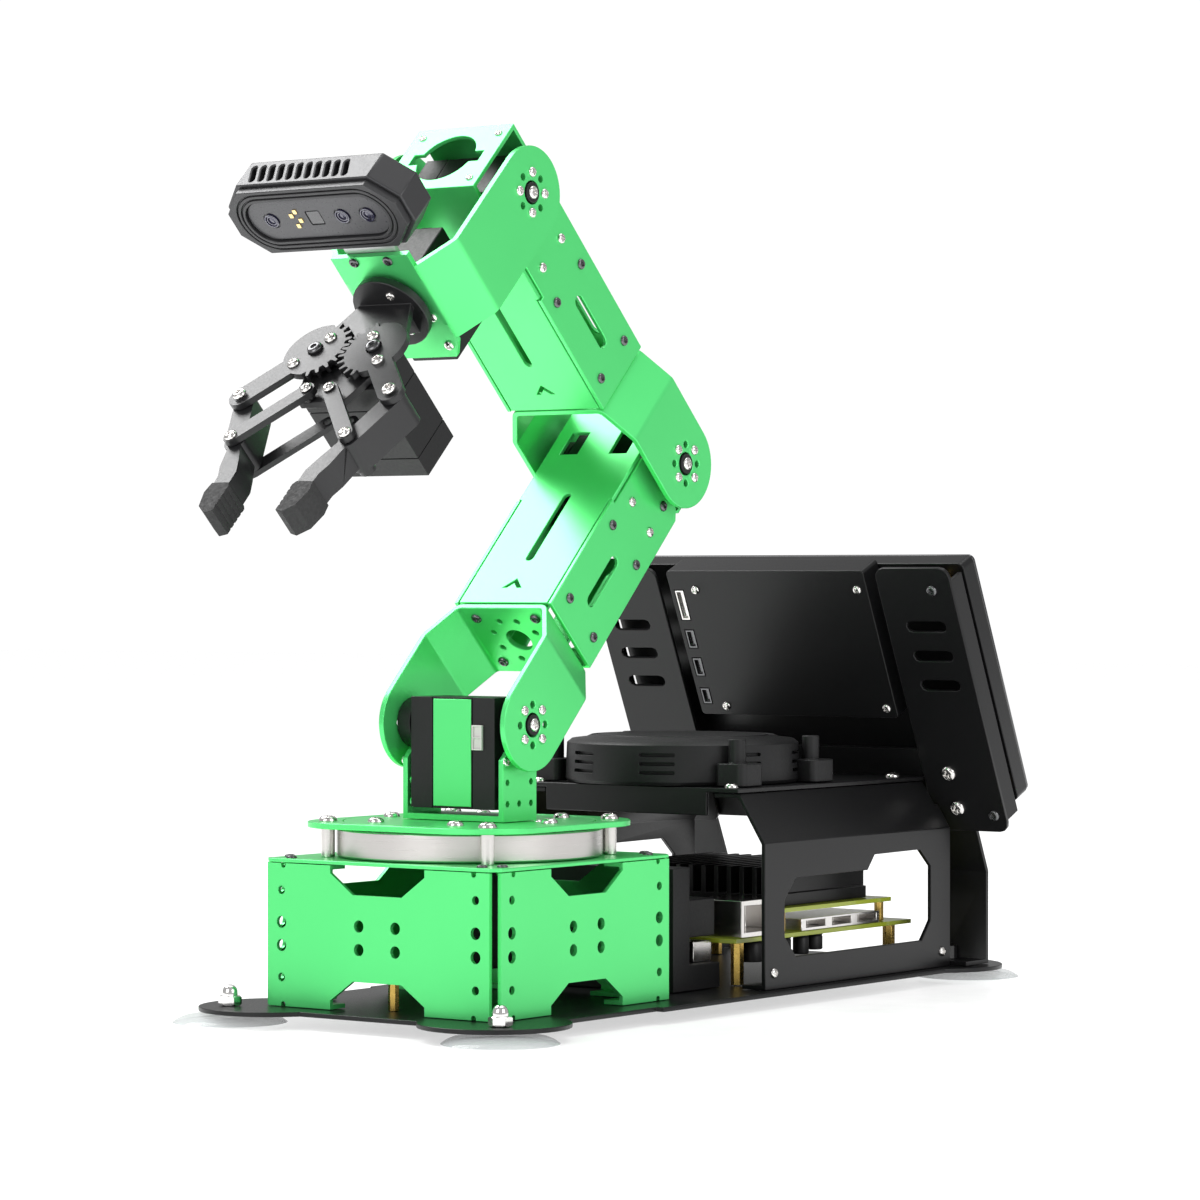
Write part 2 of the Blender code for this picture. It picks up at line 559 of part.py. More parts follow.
def deck():
    bm = block(DECK_X0, DECK_X1, -50.0, 50.0, DECK_Z - 1.6, DECK_Z)
    return fuse(bm, block(DECK_X1 - 1.6, DECK_X1, -36, 36, DECK_Z - 10, DECK_Z - 0.5))


def mic_array():
    """Round sensor puck on the deck, with a post and a lug at each quarter."""
    z = DECK_Z + GAP
    bm = turned([(0, z + 17.4), (34, z + 17.4), (36, z + 16.2), (41.5, z + 15.6), (43.0, z + 14.0), (43.6, z + 1.5), (42.6, z), (0, z)], 40)
    for sx in (-1, 1):
        for sy in (-1, 1):
            lug = prism(round_rect(sx * 23.5 - 7.0, sx * 23.5 + 7.0, sy * 41.5 - 6.5, sy * 41.5 + 6.5, 3), z, z + 8.2)
            bm = fuse(bm, lug, rod(3.2, z + 4, z + 16.9, 12, sx * 24.0, sy * 41.0))
    return moved(bm, -128.5)


def tilted(bm):
    """Local (x across, y up the screen, z out of its back) to the tilted screen frame."""
    a = math.radians(SCREEN_TILT)
    return turn_to(bm, Y, (math.sin(a), 0, math.cos(a)), (math.cos(a), 0, -math.sin(a)), SCREEN_O)


def screen_bracket():
    """Left wing plate behind the display, with its outer fold."""
    plate = prism(round_rect(50.5, 82.6, -85.7, 24.0, 4), -1.6, 0)
    fold = block(81.0, 82.6, -81.0, 18.5, -9.2, -0.8)
    bm = fuse(plate, fold)
    slots = [prism(slot_points(61.3, 74.3, t, 2.2), -5, 5) for t in (0.0, -12.1, -24.3)]
    return tilted(cut(bm, *slots))


def display():
    """Display case, with four bosses that the wing plates screw to."""
    slab = prism(round_rect(-82.4, 82.4, -78.0, 20.8, 2.5), -20.6, -11.5)
    for sx in (-1, 1):
        for across, t in ((74.1, 15.0), (77.8, -70.0)):
            slab = fuse(slab, rod(2.5, -12.5, -1.6 - GAP, 8, sx * across, t))
    return tilted(slab)


def driver_board():
    """Cover over the display's driver electronics; its ports are along one side."""
    body = prism(round_rect(-45.3, 45.3, -38.4, 23.0, 1.5), -11.2, -0.2)
    ports = [block(-43.4, -39.0, t0, t1, -2.0, 5) for t0, t1 in ((2.0, 15.0), (-10.0, -2.0), (-22.0, -14.0), (-34.0, -27.0))]
    return tilted(cut(body, *ports))


def screen_stand():
    """Two bent legs on the base plate that lean forward behind the wing plates, tied by a cross plate."""
    a = math.radians(SCREEN_TILT)
    t = 0.8
    out = -1.6 - GAP - t

    def head(up):
        return (SCREEN_O[0] + out * math.cos(a) + up * math.sin(a), SCREEN_O[2] - out * math.sin(a) + up * math.cos(a))

    foot_z = PLATE_TOP + GAP + t
    knee = head((41.0 - SCREEN_O[2] + out * math.sin(a)) / math.cos(a))
    line = [(-220.4, foot_z), (knee[0], foot_z), knee, head(-52)]
    bm = None
    for y0, y1, post in ((47.0, 66.8, 52.0), (-73.5, -53.5, -58.7)):
        leg = fuse(across_y(prism(strip(line, t), -y1, -y0)), rod(3.3, foot_z, 12.2, 10, -231.9, post))
        bm = leg if bm is None else fuse(bm, leg)
        if y0 > 0:
            bm = fuse(bm, tilted(prism([(-73.3, -84), (66.6, -84), (66.6, -52.2), (-73.3, -52.2)], out - t + 0.1, out + t - 0.1)))
    return bm


# ---- electronics ----
def carrier_board():
    bm = block(-216.0, -98.0, -45, 45, 21.4, 23.0)
    for x in (-208.0, -106.0):
        for y in (-40.0, 40.0):
            bm = fuse(bm, rod(2.4, PLATE_TOP + GAP, 22.0, 6, x, y))
    bm = fuse(bm, block(-195, -142, 20, 44, 22.5, 27.5), block(-128, -102, 22, 44.5, 22.5, 36.5), block(-128, -102, -20, 6, 22.5, 34.0))
    for x, y, r, h in ((-135, 40, 3.4, 9.0), (-146, 41, 3.0, 7.0), (-156, 40, 3.4, 6.0), (-118, 38, 4.5, 8.0)):
        bm = fuse(bm, rod(r, 22.0 - h, 22.0, 8, x, y))
    return bm


def compute_module():
    """Upper board with its finned heatsink."""
    board = block(-205.0, -130.0, -42, 43, 30.4, 32.0)
    sink = block(-196.0, -132.0, -34, 38, 31.5, 36.5)
    bm = fuse(board, sink)
    for i in range(7):
        y = -34 + i * 11.4
        bm = fuse(bm, block(-196.0, -132.0, y, y + 3.6, 36.0, 46.5))
    for x in (-201.0, -134.0):
        for y in (-38.5, 40.0):
            bm = fuse(bm, rod(1.8, 23.0 + GAP, 31.0, 6, x, y))
    return bm


def end_module():
    """Connector and power module at the front of the electronics."""
    bm = block(-76.0, -66.0, -40, 40, PLATE_TOP + GAP, 50.0)
    bm = fuse(bm, block(-95.0, -75.0, -40, 40, PLATE_TOP + GAP, 15.0), block(-94.5, -75.0, -38, 38, 24.5, 38.0))
    return cut(bm, block(-110, -82, -30, 30, 27, 35))


# ---- build ----
root = None
add("base_plate", base_plate(), BLACK)
for tag, (x, y) in FEET.items():
    add("suction_cup_" + tag, moved(suction_cup(), x, y), CLEAR)
    add("dome_nut_" + tag, moved(dome_nut(), x, y), STEEL)
for tag, turn in (("front", 0), ("left", 90), ("rear", 180), ("right", 270)):
    add("box_panel_" + tag, box_panel(), GREEN, matrix=Matrix.Rotation(math.radians(turn), 4, "Z"))
add("box_lid", box_lid(), GREEN)
add("yaw_servo", yaw_servo(), CASE)
add("bearing_outer_ring", bearing_ring(), STEEL)
add("bearing_clamp", bearing_clamp(), GREEN)

for sign, tag in ((1, "left"), (-1, "right")):
    side = side_bracket()
    add("side_bracket_" + tag, side if sign > 0 else mirror_y(side), BLACK)
    wing = screen_bracket()
    add("screen_wing_" + tag, wing if sign > 0 else mirror_y(wing), BLACK)
add("rear_deck", deck(), BLACK)
add("mic_array", mic_array(), CASE)
add("display_panel", display(), BLACK)
add("display_driver", driver_board(), BLACK)
add("screen_stand", screen_stand(), BLACK)
add("carrier_board", carrier_board(), PCB)
add("compute_module", compute_module(), CASE)
add("connector_module", end_module(), BLACK)

turntable_axis = axis_empty("axis_base_yaw", (0, 0, 0), 0)
add("turntable_disc", turntable(), GREEN, turntable_axis)
t = 2.0
u = [(-20, CLAMP_Z1 + GAP), (20, CLAMP_Z1 + GAP), (22, CLAMP_Z1 + GAP), (22, 93.2), (20, 93.2), (20, CLAMP_Z1 + GAP + t), (-20, CLAMP_Z1 + GAP + t), (-20, 93.2), (-22, 93.2), (-22, CLAMP_Z1 + GAP)]
cradle = across_x(prism(u[:1] + u[1:], -9.4, 9.5))
cradle = meet(cradle, across_y(prism([(-9.4, 60), (9.5, 60), (9.5, 90.2), (6.5, 93.2), (-6.4, 93.2), (-9.4, 90.2)], -40, 40)))
cradle = cut(cradle, *[across_y(rod(1.2, -30, 30, 6, x, z)) for x, z in ((7.0, 82.6), (-6.3, 82.6), (7.0, 75.2), (0.4, 75.2), (-6.3, 75.2))])
add("shoulder_bracket", cradle, GREEN, turntable_axis)
add("shoulder_servo", moved(servo(), 0, 0, SHOULDER_Z), CASE, turntable_axis)

shoulder = (0.0, 0.0, SHOULDER_Z)
elbow = on_link(shoulder, LOWER_TILT, LINK)
wrist = on_link(elbow, FOREARM_TILT, LINK)
for tag, origin, tilt in (("lower", shoulder, LOWER_TILT), ("forearm", elbow, FOREARM_TILT)):
    joint = {"lower": "shoulder", "forearm": "elbow"}[tag]
    axis = axis_empty("axis_" + joint, origin, tilt)
    add(joint + "_yoke", yoke(), GREEN, axis)
    add(joint + "_horn", horn(1), CASE, axis)
    add(joint + "_idler", horn(-1), CASE, axis)
    add(tag + "_channel", link_channel(), GREEN, axis)
    add(tag + "_cover", link_cover(), GREEN, axis)
    inner = {"lower": "elbow_servo", "forearm": "wrist_servo"}[tag]
    add(inner, moved(servo(), 0, 0, LINK), CASE, axis)

wrist_axis = axis_empty("axis_wrist", wrist, WRIST_TILT)
add("wrist_yoke", hand_yoke(), GREEN, wrist_axis)
add("wrist_horn", horn(1, True), CASE, wrist_axis)
add("wrist_idler", horn(-1, True), CASE, wrist_axis)
add("roll_servo", roll_servo(), CASE, wrist_axis)
add("camera_bracket", camera_bracket(), BLACK, wrist_axis)
add("depth_camera", camera_body(), GREY, wrist_axis)
add("camera_window", camera_window(), GLASS, wrist_axis)

roll_axis = axis_empty("axis_wrist_roll", wrist, WRIST_TILT)
add("gripper_frame", gripper_base(), BLACK, roll_axis)
add("gripper_servo", gripper_servo(), CASE, roll_axis)
for sign, tag in ((1, "left"), (-1, "right")):
    pivots = hand_points(sign)
    for name, shape, at in (("gear_arm_", gear_arm(sign), pivots[0]), ("inner_link_", inner_link(sign), pivots[2]), ("finger_", finger(sign), pivots[1])):
        # the empty stands on the pivot, so the shape is shifted back by the pivot's place
        empty = axis_empty("axis_" + name + tag, (0, 0, 0), 0)
        empty.matrix_world = link_frame(wrist, WRIST_TILT) @ Matrix.Translation(Vector((0, at[1], at[0])) * MM)
        add(name + tag, moved(shape, 0, -at[1], -at[0]), BLACK, empty)
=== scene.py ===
import json
import math

import bmesh
import bpy
from mathutils import Matrix, Vector


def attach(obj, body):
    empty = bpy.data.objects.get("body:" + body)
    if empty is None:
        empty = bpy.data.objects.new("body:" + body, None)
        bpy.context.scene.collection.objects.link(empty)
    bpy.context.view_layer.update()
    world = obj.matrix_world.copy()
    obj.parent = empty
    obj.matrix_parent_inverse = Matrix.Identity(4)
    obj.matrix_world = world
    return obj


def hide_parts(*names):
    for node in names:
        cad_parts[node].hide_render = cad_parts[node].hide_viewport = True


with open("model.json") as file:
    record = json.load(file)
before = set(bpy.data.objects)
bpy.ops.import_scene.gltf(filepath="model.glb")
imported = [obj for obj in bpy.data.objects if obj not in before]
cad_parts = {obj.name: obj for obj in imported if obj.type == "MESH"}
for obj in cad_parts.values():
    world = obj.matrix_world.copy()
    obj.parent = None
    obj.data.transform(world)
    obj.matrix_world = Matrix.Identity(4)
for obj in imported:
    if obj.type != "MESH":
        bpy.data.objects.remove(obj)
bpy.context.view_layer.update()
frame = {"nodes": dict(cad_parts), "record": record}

MM = 0.001

# ------------------------------------------------------------------ camera
cam_data = bpy.data.cameras.new("view_camera")
cam = bpy.data.objects.new("view_camera", cam_data)
bpy.context.scene.collection.objects.link(cam)
right = Vector((-0.5913137, 0.8064414, 0.0005261))
up = Vector((-0.0028905, -0.0027718, 0.9999920))
back = -Vector((-0.8064364, -0.5913075, -0.0039701))
rot = Matrix((right, up, back)).transposed().to_4x4()
cam.matrix_world = Matrix.Translation(Vector((1.1714529, 0.9150409, 0.1511013))) @ rot
cam_data.sensor_width = 36.0
cam_data.lens = 128.42
cam_data.clip_end = 50.0
bpy.context.scene.camera = cam
bpy.context.scene.view_settings.view_transform = "Standard"


# ------------------------------------------------------------------ materials
def nodes_of(name):
    mat = bpy.data.materials.new(name)
    mat.use_nodes = True
    tree = mat.node_tree
    shader = tree.nodes["Principled BSDF"]
    coord = tree.nodes.new("ShaderNodeTexCoord")
    return mat, tree, shader, coord


def noise(tree, coord, scale, detail=3.0, stretch=None):
    node = tree.nodes.new("ShaderNodeTexNoise")
    node.inputs["Scale"].default_value = scale
    node.inputs["Detail"].default_value = detail
    if stretch is None:
        tree.links.new(coord.outputs["Object"], node.inputs["Vector"])
    else:
        mapping = tree.nodes.new("ShaderNodeMapping")
        mapping.inputs["Scale"].default_value = stretch
        tree.links.new(coord.outputs["Object"], mapping.inputs["Vector"])
        tree.links.new(mapping.outputs["Vector"], node.inputs["Vector"])
    return node.outputs["Fac"]


def ramp(tree, fac, lo, hi):
    node = tree.nodes.new("ShaderNodeMapRange")
    node.inputs["From Min"].default_value = 0.3
    node.inputs["From Max"].default_value = 0.7
    node.inputs["To Min"].default_value = lo
    node.inputs["To Max"].default_value = hi
    tree.links.new(fac, node.inputs["Value"])
    return node.outputs["Result"]


def mix(tree, fac, a, b):
    node = tree.nodes.new("ShaderNodeMix")
    node.data_type = "RGBA"
    tree.links.new(fac, node.inputs["Factor"])
    node.inputs["A"].default_value = (*a, 1)
    node.inputs["B"].default_value = (*b, 1)
    return node.outputs["Result"]


def finish_material(name, light, dark, rough, metallic=0.0, grain=1400.0, bump=0.15, cloud=25.0, stretch=None, coat=0.0,
                    transmission=0.0, ior=1.5, specular=0.5):
    """Colour drifting between two tones, grain in the roughness, and a fine bump."""
    mat, tree, shader, coord = nodes_of(name)
    tree.links.new(mix(tree, noise(tree, coord, cloud, 2.0), light, dark), shader.inputs["Base Color"])
    fine = noise(tree, coord, grain, 4.0, stretch)
    tree.links.new(ramp(tree, fine, rough * 0.88, rough * 1.12), shader.inputs["Roughness"])
    node = tree.nodes.new("ShaderNodeBump")
    node.inputs["Strength"].default_value = bump
    node.inputs["Distance"].default_value = 0.00005
    tree.links.new(fine, node.inputs["Height"])
    tree.links.new(node.outputs["Normal"], shader.inputs["Normal"])
    shader.inputs["Metallic"].default_value = metallic
    shader.inputs["Coat Weight"].default_value = coat
    shader.inputs["Transmission Weight"].default_value = transmission
    shader.inputs["IOR"].default_value = ior
    shader.inputs["Specular IOR Level"].default_value = specular
    return mat


GREEN = finish_material("anodised_green", (0.105, 0.76, 0.215), (0.090, 0.70, 0.190), 0.33, 0.55, 1800, 0.22, 18)
BLACK = finish_material("black_anodised", (0.008, 0.008, 0.0085), (0.005, 0.005, 0.0055), 0.34, 0.1, 1600, 0.25, 20, specular=0.32)
CASE = finish_material("black_moulded", (0.009, 0.009, 0.0095), (0.006, 0.006, 0.0065), 0.46, 0.0, 1100, 0.35, 30, specular=0.30)
# Near-black colour for painted shade inside recesses; no piece uses it.
PAINTED_SHADE = finish_material("painted_recess_shade", (0.010, 0.010, 0.011), (0.007, 0.007, 0.008), 0.6, 0.0, 1100, 0.3, 30)
GREY = finish_material("dark_grey_cast", (0.034, 0.034, 0.036), (0.027, 0.027, 0.029), 0.36, 0.3, 1500, 0.25, 22)
GRIP = finish_material("gripper_black", (0.014, 0.014, 0.015), (0.010, 0.010, 0.011), 0.38, 0.15, 1500, 0.28, 24)
STEEL = finish_material("bright_steel", (0.72, 0.70, 0.68), (0.66, 0.64, 0.62), 0.22, 1.0, 900, 0.10, 30)
RING = finish_material("turned_steel", (0.60, 0.575, 0.56), (0.54, 0.52, 0.505), 0.30, 1.0, 700, 0.22, 12, (0.05, 0.05, 6.0))
CHROME = finish_material("dome_nut_chrome", (0.82, 0.81, 0.80), (0.76, 0.75, 0.74), 0.10, 1.0, 700, 0.04, 30)
SCREW = finish_material("bright_screw", (0.78, 0.76, 0.74), (0.68, 0.66, 0.64), 0.18, 1.0, 1500, 0.08, 60)
DARK_SCREW = finish_material("dark_screw", (0.16, 0.16, 0.165), (0.12, 0.12, 0.125), 0.24, 0.9, 1500, 0.08, 60)
CLEAR = finish_material("clear_rubber", (0.50, 0.54, 0.54), (0.44, 0.48, 0.48), 0.05, 0.0, 500, 0.02, 20, ior=1.38)
facing = CLEAR.node_tree.nodes.new("ShaderNodeLayerWeight")
facing.inputs["Blend"].default_value = 0.35
rim = CLEAR.node_tree.nodes.new("ShaderNodeMapRange")
rim.inputs["To Min"].default_value = 0.10
rim.inputs["To Max"].default_value = 0.62
CLEAR.node_tree.links.new(facing.outputs["Facing"], rim.inputs["Value"])
CLEAR.node_tree.links.new(rim.outputs["Result"], CLEAR.node_tree.nodes["Principled BSDF"].inputs["Alpha"])
PCB = finish_material("circuit_board", (0.38, 0.45, 0.03), (0.32, 0.39, 0.025), 0.38, 0.0, 600, 0.12, 120, coat=0.4)
BRASS = finish_material("brass", (0.62, 0.43, 0.12), (0.54, 0.36, 0.09), 0.28, 1.0, 900, 0.1, 40)
GOLD = finish_material("gold_contact", (0.85, 0.66, 0.32), (0.76, 0.57, 0.25), 0.25, 1.0, 900, 0.1, 60)
SILVER_PLASTIC = finish_material("pale_connector", (0.62, 0.61, 0.59), (0.55, 0.54, 0.52), 0.45, 0.0, 900, 0.2, 40)
ALU = finish_material("pale_aluminium", (0.55, 0.55, 0.56), (0.49, 0.49, 0.50), 0.34, 0.8, 1500, 0.2, 25)
PANEL = finish_material("sensor_panel", (0.060, 0.060, 0.064), (0.050, 0.050, 0.054), 0.30, 0.2, 1200, 0.1, 30)
GLASS = finish_material("dark_glass", (0.020, 0.020, 0.024), (0.014, 0.014, 0.018), 0.07, 0.0, 400, 0.01, 20, coat=0.6)
SCREEN_GLASS = finish_material("screen_glass", (0.008, 0.008, 0.010), (0.006, 0.006, 0.008), 0.06, 0.0, 400, 0.01, 20, coat=0.8)
RUBBER = finish_material("soft_rubber", (0.016, 0.016, 0.0165), (0.012, 0.012, 0.0125), 0.72, 0.0, 800, 0.55, 40)
LENS = finish_material("lens_coating", (0.030, 0.028, 0.060), (0.020, 0.020, 0.045), 0.05, 0.2, 400, 0.01, 60, coat=1.0)


# ---- mesh tools: every solid is built in millimetres as a bmesh ----
def prism(points, z0, z1):
    """A closed outline in XY, extruded along Z."""
    bm = bmesh.new()
    face = bm.faces.new([bm.verts.new((x, y, z0)) for x, y in points])
    top = bmesh.ops.extrude_face_region(bm, geom=[face])["geom"]
    moved = [v for v in top if isinstance(v, bmesh.types.BMVert)]
    bmesh.ops.translate(bm, vec=(0, 0, z1 - z0), verts=moved)
    bmesh.ops.recalc_face_normals(bm, faces=bm.faces)
    return bm


def block(x0, x1, y0, y1, z0, z1):
    return prism([(x0, y0), (x1, y0), (x1, y1), (x0, y1)], z0, z1)


def ring_points(r, n, cx=0.0, cy=0.0, turn=0.0):
    return [(cx + r * math.cos(turn + 2 * math.pi * i / n), cy + r * math.sin(turn + 2 * math.pi * i / n)) for i in range(n)]


def rod(r, z0, z1, n=16, cx=0.0, cy=0.0, turn=0.0):
    return prism(ring_points(r, n, cx, cy, turn), z0, z1)


def slot_points(x0, x1, y, half, n=4):
    """A slot with round ends along X."""
    pts = [(x1 + half * math.cos(a), y + half * math.sin(a)) for a in [math.pi * (i / n - 0.5) for i in range(n + 1)]]
    pts += [(x0 - half * math.cos(a), y - half * math.sin(a)) for a in [math.pi * (i / n - 0.5) for i in range(n + 1)]]
    return pts


def round_rect(x0, x1, y0, y1, r, n=3):
    pts = []
    for cx, cy, a0 in ((x1 - r, y1 - r, 0), (x0 + r, y1 - r, 90), (x0 + r, y0 + r, 180), (x1 - r, y0 + r, 270)):
        pts += [(cx + r * math.cos(math.radians(a0 + 90 * i / n)), cy + r * math.sin(math.radians(a0 + 90 * i / n))) for i in range(n + 1)]
    return pts


def turned(profile, n):
    """A profile of (radius, z) turned round Z; a radius of 0 is on the axis."""
    bm = bmesh.new()
    verts = [bm.verts.new((r, 0, z)) for r, z in profile]
    edges = [bm.edges.new((verts[i], verts[(i + 1) % len(verts)])) for i in range(len(verts))
             if not (profile[i][0] == 0 and profile[(i + 1) % len(verts)][0] == 0)]
    bmesh.ops.spin(bm, geom=verts + edges, axis=(0, 0, 1), cent=(0, 0, 0), steps=n, angle=2 * math.pi, use_duplicate=False)
    bmesh.ops.remove_doubles(bm, verts=bm.verts, dist=1e-4)
    bmesh.ops.recalc_face_normals(bm, faces=bm.faces)
    return bm


def strip(points, half_t):
    """The outline of a bent sheet of thickness 2*half_t along an open line of points."""
    left, right = [], []
    for i, p in enumerate(points):
        p = Vector(p)
        dirs = []
        if i > 0:
            dirs.append((p - Vector(points[i - 1])).normalized())
        if i < len(points) - 1:
            dirs.append((Vector(points[i + 1]) - p).normalized())
        d = sum(dirs, Vector((0, 0))).normalized()
        k = half_t / max(d.dot(dirs[0]), 0.3)
        nrm = Vector((-d.y, d.x)) * k
        left.append(tuple(p + nrm))
        right.append(tuple(p - nrm))
    return left + right[::-1]


def turn_to(bm, x_to, y_to, z_to, at=(0, 0, 0)):
    """Sends the local axes to the given directions."""
    m = Matrix((x_to, y_to, z_to)).transposed().to_4x4()
    m.translation = Vector(at)
    bmesh.ops.transform(bm, matrix=m, verts=bm.verts)
    if m.determinant() < 0:
        bmesh.ops.reverse_faces(bm, faces=bm.faces)
    return bm


X, Y, Z = (1, 0, 0), (0, 1, 0), (0, 0, 1)
NX, NY, NZ = (-1, 0, 0), (0, -1, 0), (0, 0, -1)


def across_y(bm):
    """Outline in (X, Z), extruded along Y: for plates that face sideways."""
    return turn_to(bm, X, Z, NY)


def across_x(bm):
    """Outline in (Y, Z), extruded along X: for plates that face forward."""
    return turn_to(bm, Y, Z, X)


def moved(bm, dx=0, dy=0, dz=0):
    bmesh.ops.translate(bm, vec=(dx, dy, dz), verts=bm.verts)
    return bm


def joined(parts):
    """Separate shapes kept side by side in one mesh, to serve as one cutter."""
    out = bmesh.new()
    for part in parts:
        mesh = bpy.data.meshes.new("part")
        part.to_mesh(mesh)
        part.free()
        out.from_mesh(mesh)
        bpy.data.meshes.remove(mesh)
    return out


def boolean(a, b, kind):
    objs = []
    for bm in (a, b):
        mesh = bpy.data.meshes.new("tmp")
        bm.to_mesh(mesh)
        bm.free()
        obj = bpy.data.objects.new("tmp", mesh)
        bpy.context.scene.collection.objects.link(obj)
        objs.append(obj)
    mod = objs[0].modifiers.new("bool", "BOOLEAN")
    mod.operation, mod.solver, mod.object = kind, "EXACT", objs[1]
    mod.use_self = True
    bpy.context.view_layer.update()
    result = bmesh.new()
    result.from_mesh(objs[0].evaluated_get(bpy.context.evaluated_depsgraph_get()).to_mesh())
    objs[0].evaluated_get(bpy.context.evaluated_depsgraph_get()).to_mesh_clear()
    for obj in objs:
        mesh = obj.data
        bpy.data.objects.remove(obj, do_unlink=True)
        bpy.data.meshes.remove(mesh)
    bmesh.ops.remove_doubles(result, verts=result.verts, dist=1e-3)
    return result


def cut(a, *cutters):
    return boolean(a, joined(cutters), "DIFFERENCE")


def fuse(a, *others):
    for other in others:
        a = boolean(a, other, "UNION")
    return a


def meet(a, b):
    return boolean(a, b, "INTERSECT")




    a = math.radians(tilt)
    return (origin[0] + length * math.sin(a), 0.0, origin[2] + length * math.cos(a))




# ---- pieces ----
NODES = frame["nodes"]
BODY_OF = {}
for body_name, members in frame["record"]["behaviour"]["bodies"].items():
    for member in members:
        BODY_OF[member] = body_name


def link_frame(origin, tilt):
    return Matrix.Translation(Vector(origin)) @ Matrix.Rotation(math.radians(tilt), 4, "Y")


def on_link(origin, tilt, length):
    a = math.radians(tilt)
    return (origin[0] + length * math.sin(a), 0.0, origin[2] + length * math.cos(a))


SHOULDER = (0.0, 0.0, 102.34)
ELBOW = on_link(SHOULDER, -44.84, 129.4)
WRIST = on_link(ELBOW, 45.33, 129.4)
LOWER, FOREARM, HAND = link_frame(SHOULDER, -44.84), link_frame(ELBOW, 45.33), link_frame(WRIST, 135.0)
WORLD = Matrix.Identity(4)


def finish_mesh(obj, width, segments, angle=32):
    if width:
        mod = obj.modifiers.new("edge", "BEVEL")
        mod.width = width * MM
        mod.segments = segments
        mod.limit_method = "ANGLE"
        mod.angle_limit = math.radians(angle)
        mod.use_clamp_overlap = True
        mod.harden_normals = False
    obj.data.shade_smooth()
    obj.data.set_sharp_from_angle(angle=math.radians(38))


def piece(name, bm, mat, body, replaces=(), matrix=WORLD, bevel=0.22, segments=2, dissolve=True):
    """A finished visual piece: built in local millimetres, placed, bevelled and set riding."""
    bmesh.ops.transform(bm, matrix=matrix, verts=bm.verts)
    bmesh.ops.remove_doubles(bm, verts=bm.verts, dist=1e-3)
    if dissolve:
        bmesh.ops.dissolve_limit(bm, angle_limit=math.radians(0.5), verts=bm.verts, edges=bm.edges)
    bmesh.ops.recalc_face_normals(bm, faces=bm.faces)
    bmesh.ops.scale(bm, vec=(MM, MM, MM), verts=bm.verts)
    mesh = bpy.data.meshes.new(name)
    bm.to_mesh(mesh)
    bm.free()
    mesh.materials.append(mat)
    obj = bpy.data.objects.new(name, mesh)
    bpy.context.scene.collection.objects.link(obj)
    finish_mesh(obj, bevel, segments)
    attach(obj, body)
    if replaces:
        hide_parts(*replaces)
    return obj


def dressed(node, mat, bevel=0.22, segments=2):
    """A CAD node's own shape, with its edges rounded."""
    bm = bmesh.new()
    bm.from_mesh(NODES[node].data)
    bmesh.ops.scale(bm, vec=(1000, 1000, 1000), verts=bm.verts)
    return piece(node + "_shell", bm, mat, BODY_OF[node], [node], WORLD, bevel, segments)


# ---- screws: one template each, set down many times and joined into one piece per body ----
def pan_head(r=2.1, h=1.45):
    """Domed head with a cross recess, its seat at z = 0, pointing up."""
    prof = [(0, h), (r * 0.35, h * 0.98), (r * 0.7, h * 0.85), (r * 0.92, h * 0.55), (r, h * 0.2), (r, 0), (0, 0)]
    bm = turned(prof, 20)
    w, l = r * 0.16, r * 0.58
    cross = fuse(block(-l, l, -w, w, h * 0.45, h + 1), block(-w, w, -l, l, h * 0.45, h + 1))
    return cut(bm, cross)


def button_head(r=2.6, h=1.5):
    """Round head with a hexagon recess."""
    prof = [(0, h), (r * 0.6, h), (r * 0.86, h * 0.8), (r, h * 0.35), (r, 0), (0, 0)]
    return cut(turned(prof, 20), rod(r * 0.48, h * 0.35, h + 1, 6))


HEADS = {}


def head_mesh(kind, r, h):
    key = (kind, r, h)
    if key not in HEADS:
        mesh = bpy.data.meshes.new("head")
        bm = pan_head(r, h) if kind == "pan" else button_head(r, h)
        bm.to_mesh(mesh)
        bm.free()
        HEADS[key] = mesh
    return HEADS[key]


def screws(name, body, mat, places, replaces=()):
    """places: (kind, radius, height, seat point, outward direction, frame, turn)."""
    bm = bmesh.new()
    for kind, r, h, at, out, mat_frame, turn in places:
        one = bmesh.new()
        one.from_mesh(head_mesh(kind, r, h))
        q = Vector(out).normalized().to_track_quat("Z", "Y").to_matrix().to_4x4()
        m = mat_frame @ Matrix.Translation(Vector(at)) @ q @ Matrix.Rotation(math.radians(turn), 4, "Z")
        bmesh.ops.transform(one, matrix=m, verts=one.verts)
        tmp = bpy.data.meshes.new("tmp")
        one.to_mesh(tmp)
        one.free()
        bm.from_mesh(tmp)
        bpy.data.meshes.remove(tmp)
    return piece(name, bm, mat, body, replaces, WORLD, 0.06, 1, dissolve=False)


def ring_of(r, count, start=0.0):
    return [(r * math.cos(start + 2 * math.pi * i / count), r * math.sin(start + 2 * math.pi * i / count)) for i in range(count)]


def fillet(points, radius, n=5):
    """An open line of points with its inner corners rounded."""
    out = [Vector(points[0])]
    for i in range(1, len(points) - 1):
        p, a, b = Vector(points[i]), Vector(points[i - 1]), Vector(points[i + 1])
        u, v = (a - p).normalized(), (b - p).normalized()
        ang = u.angle(v)
        d = min(radius / math.tan(ang / 2), (a - p).length * 0.48, (b - p).length * 0.48)
        s, e = p + u * d, p + v * d
        for k in range(n + 1):
            t = k / n
            out.append(s * (1 - t) ** 2 + p * 2 * t * (1 - t) + e * t ** 2)
    out.append(Vector(points[-1]))
    return [tuple(q) for q in out]


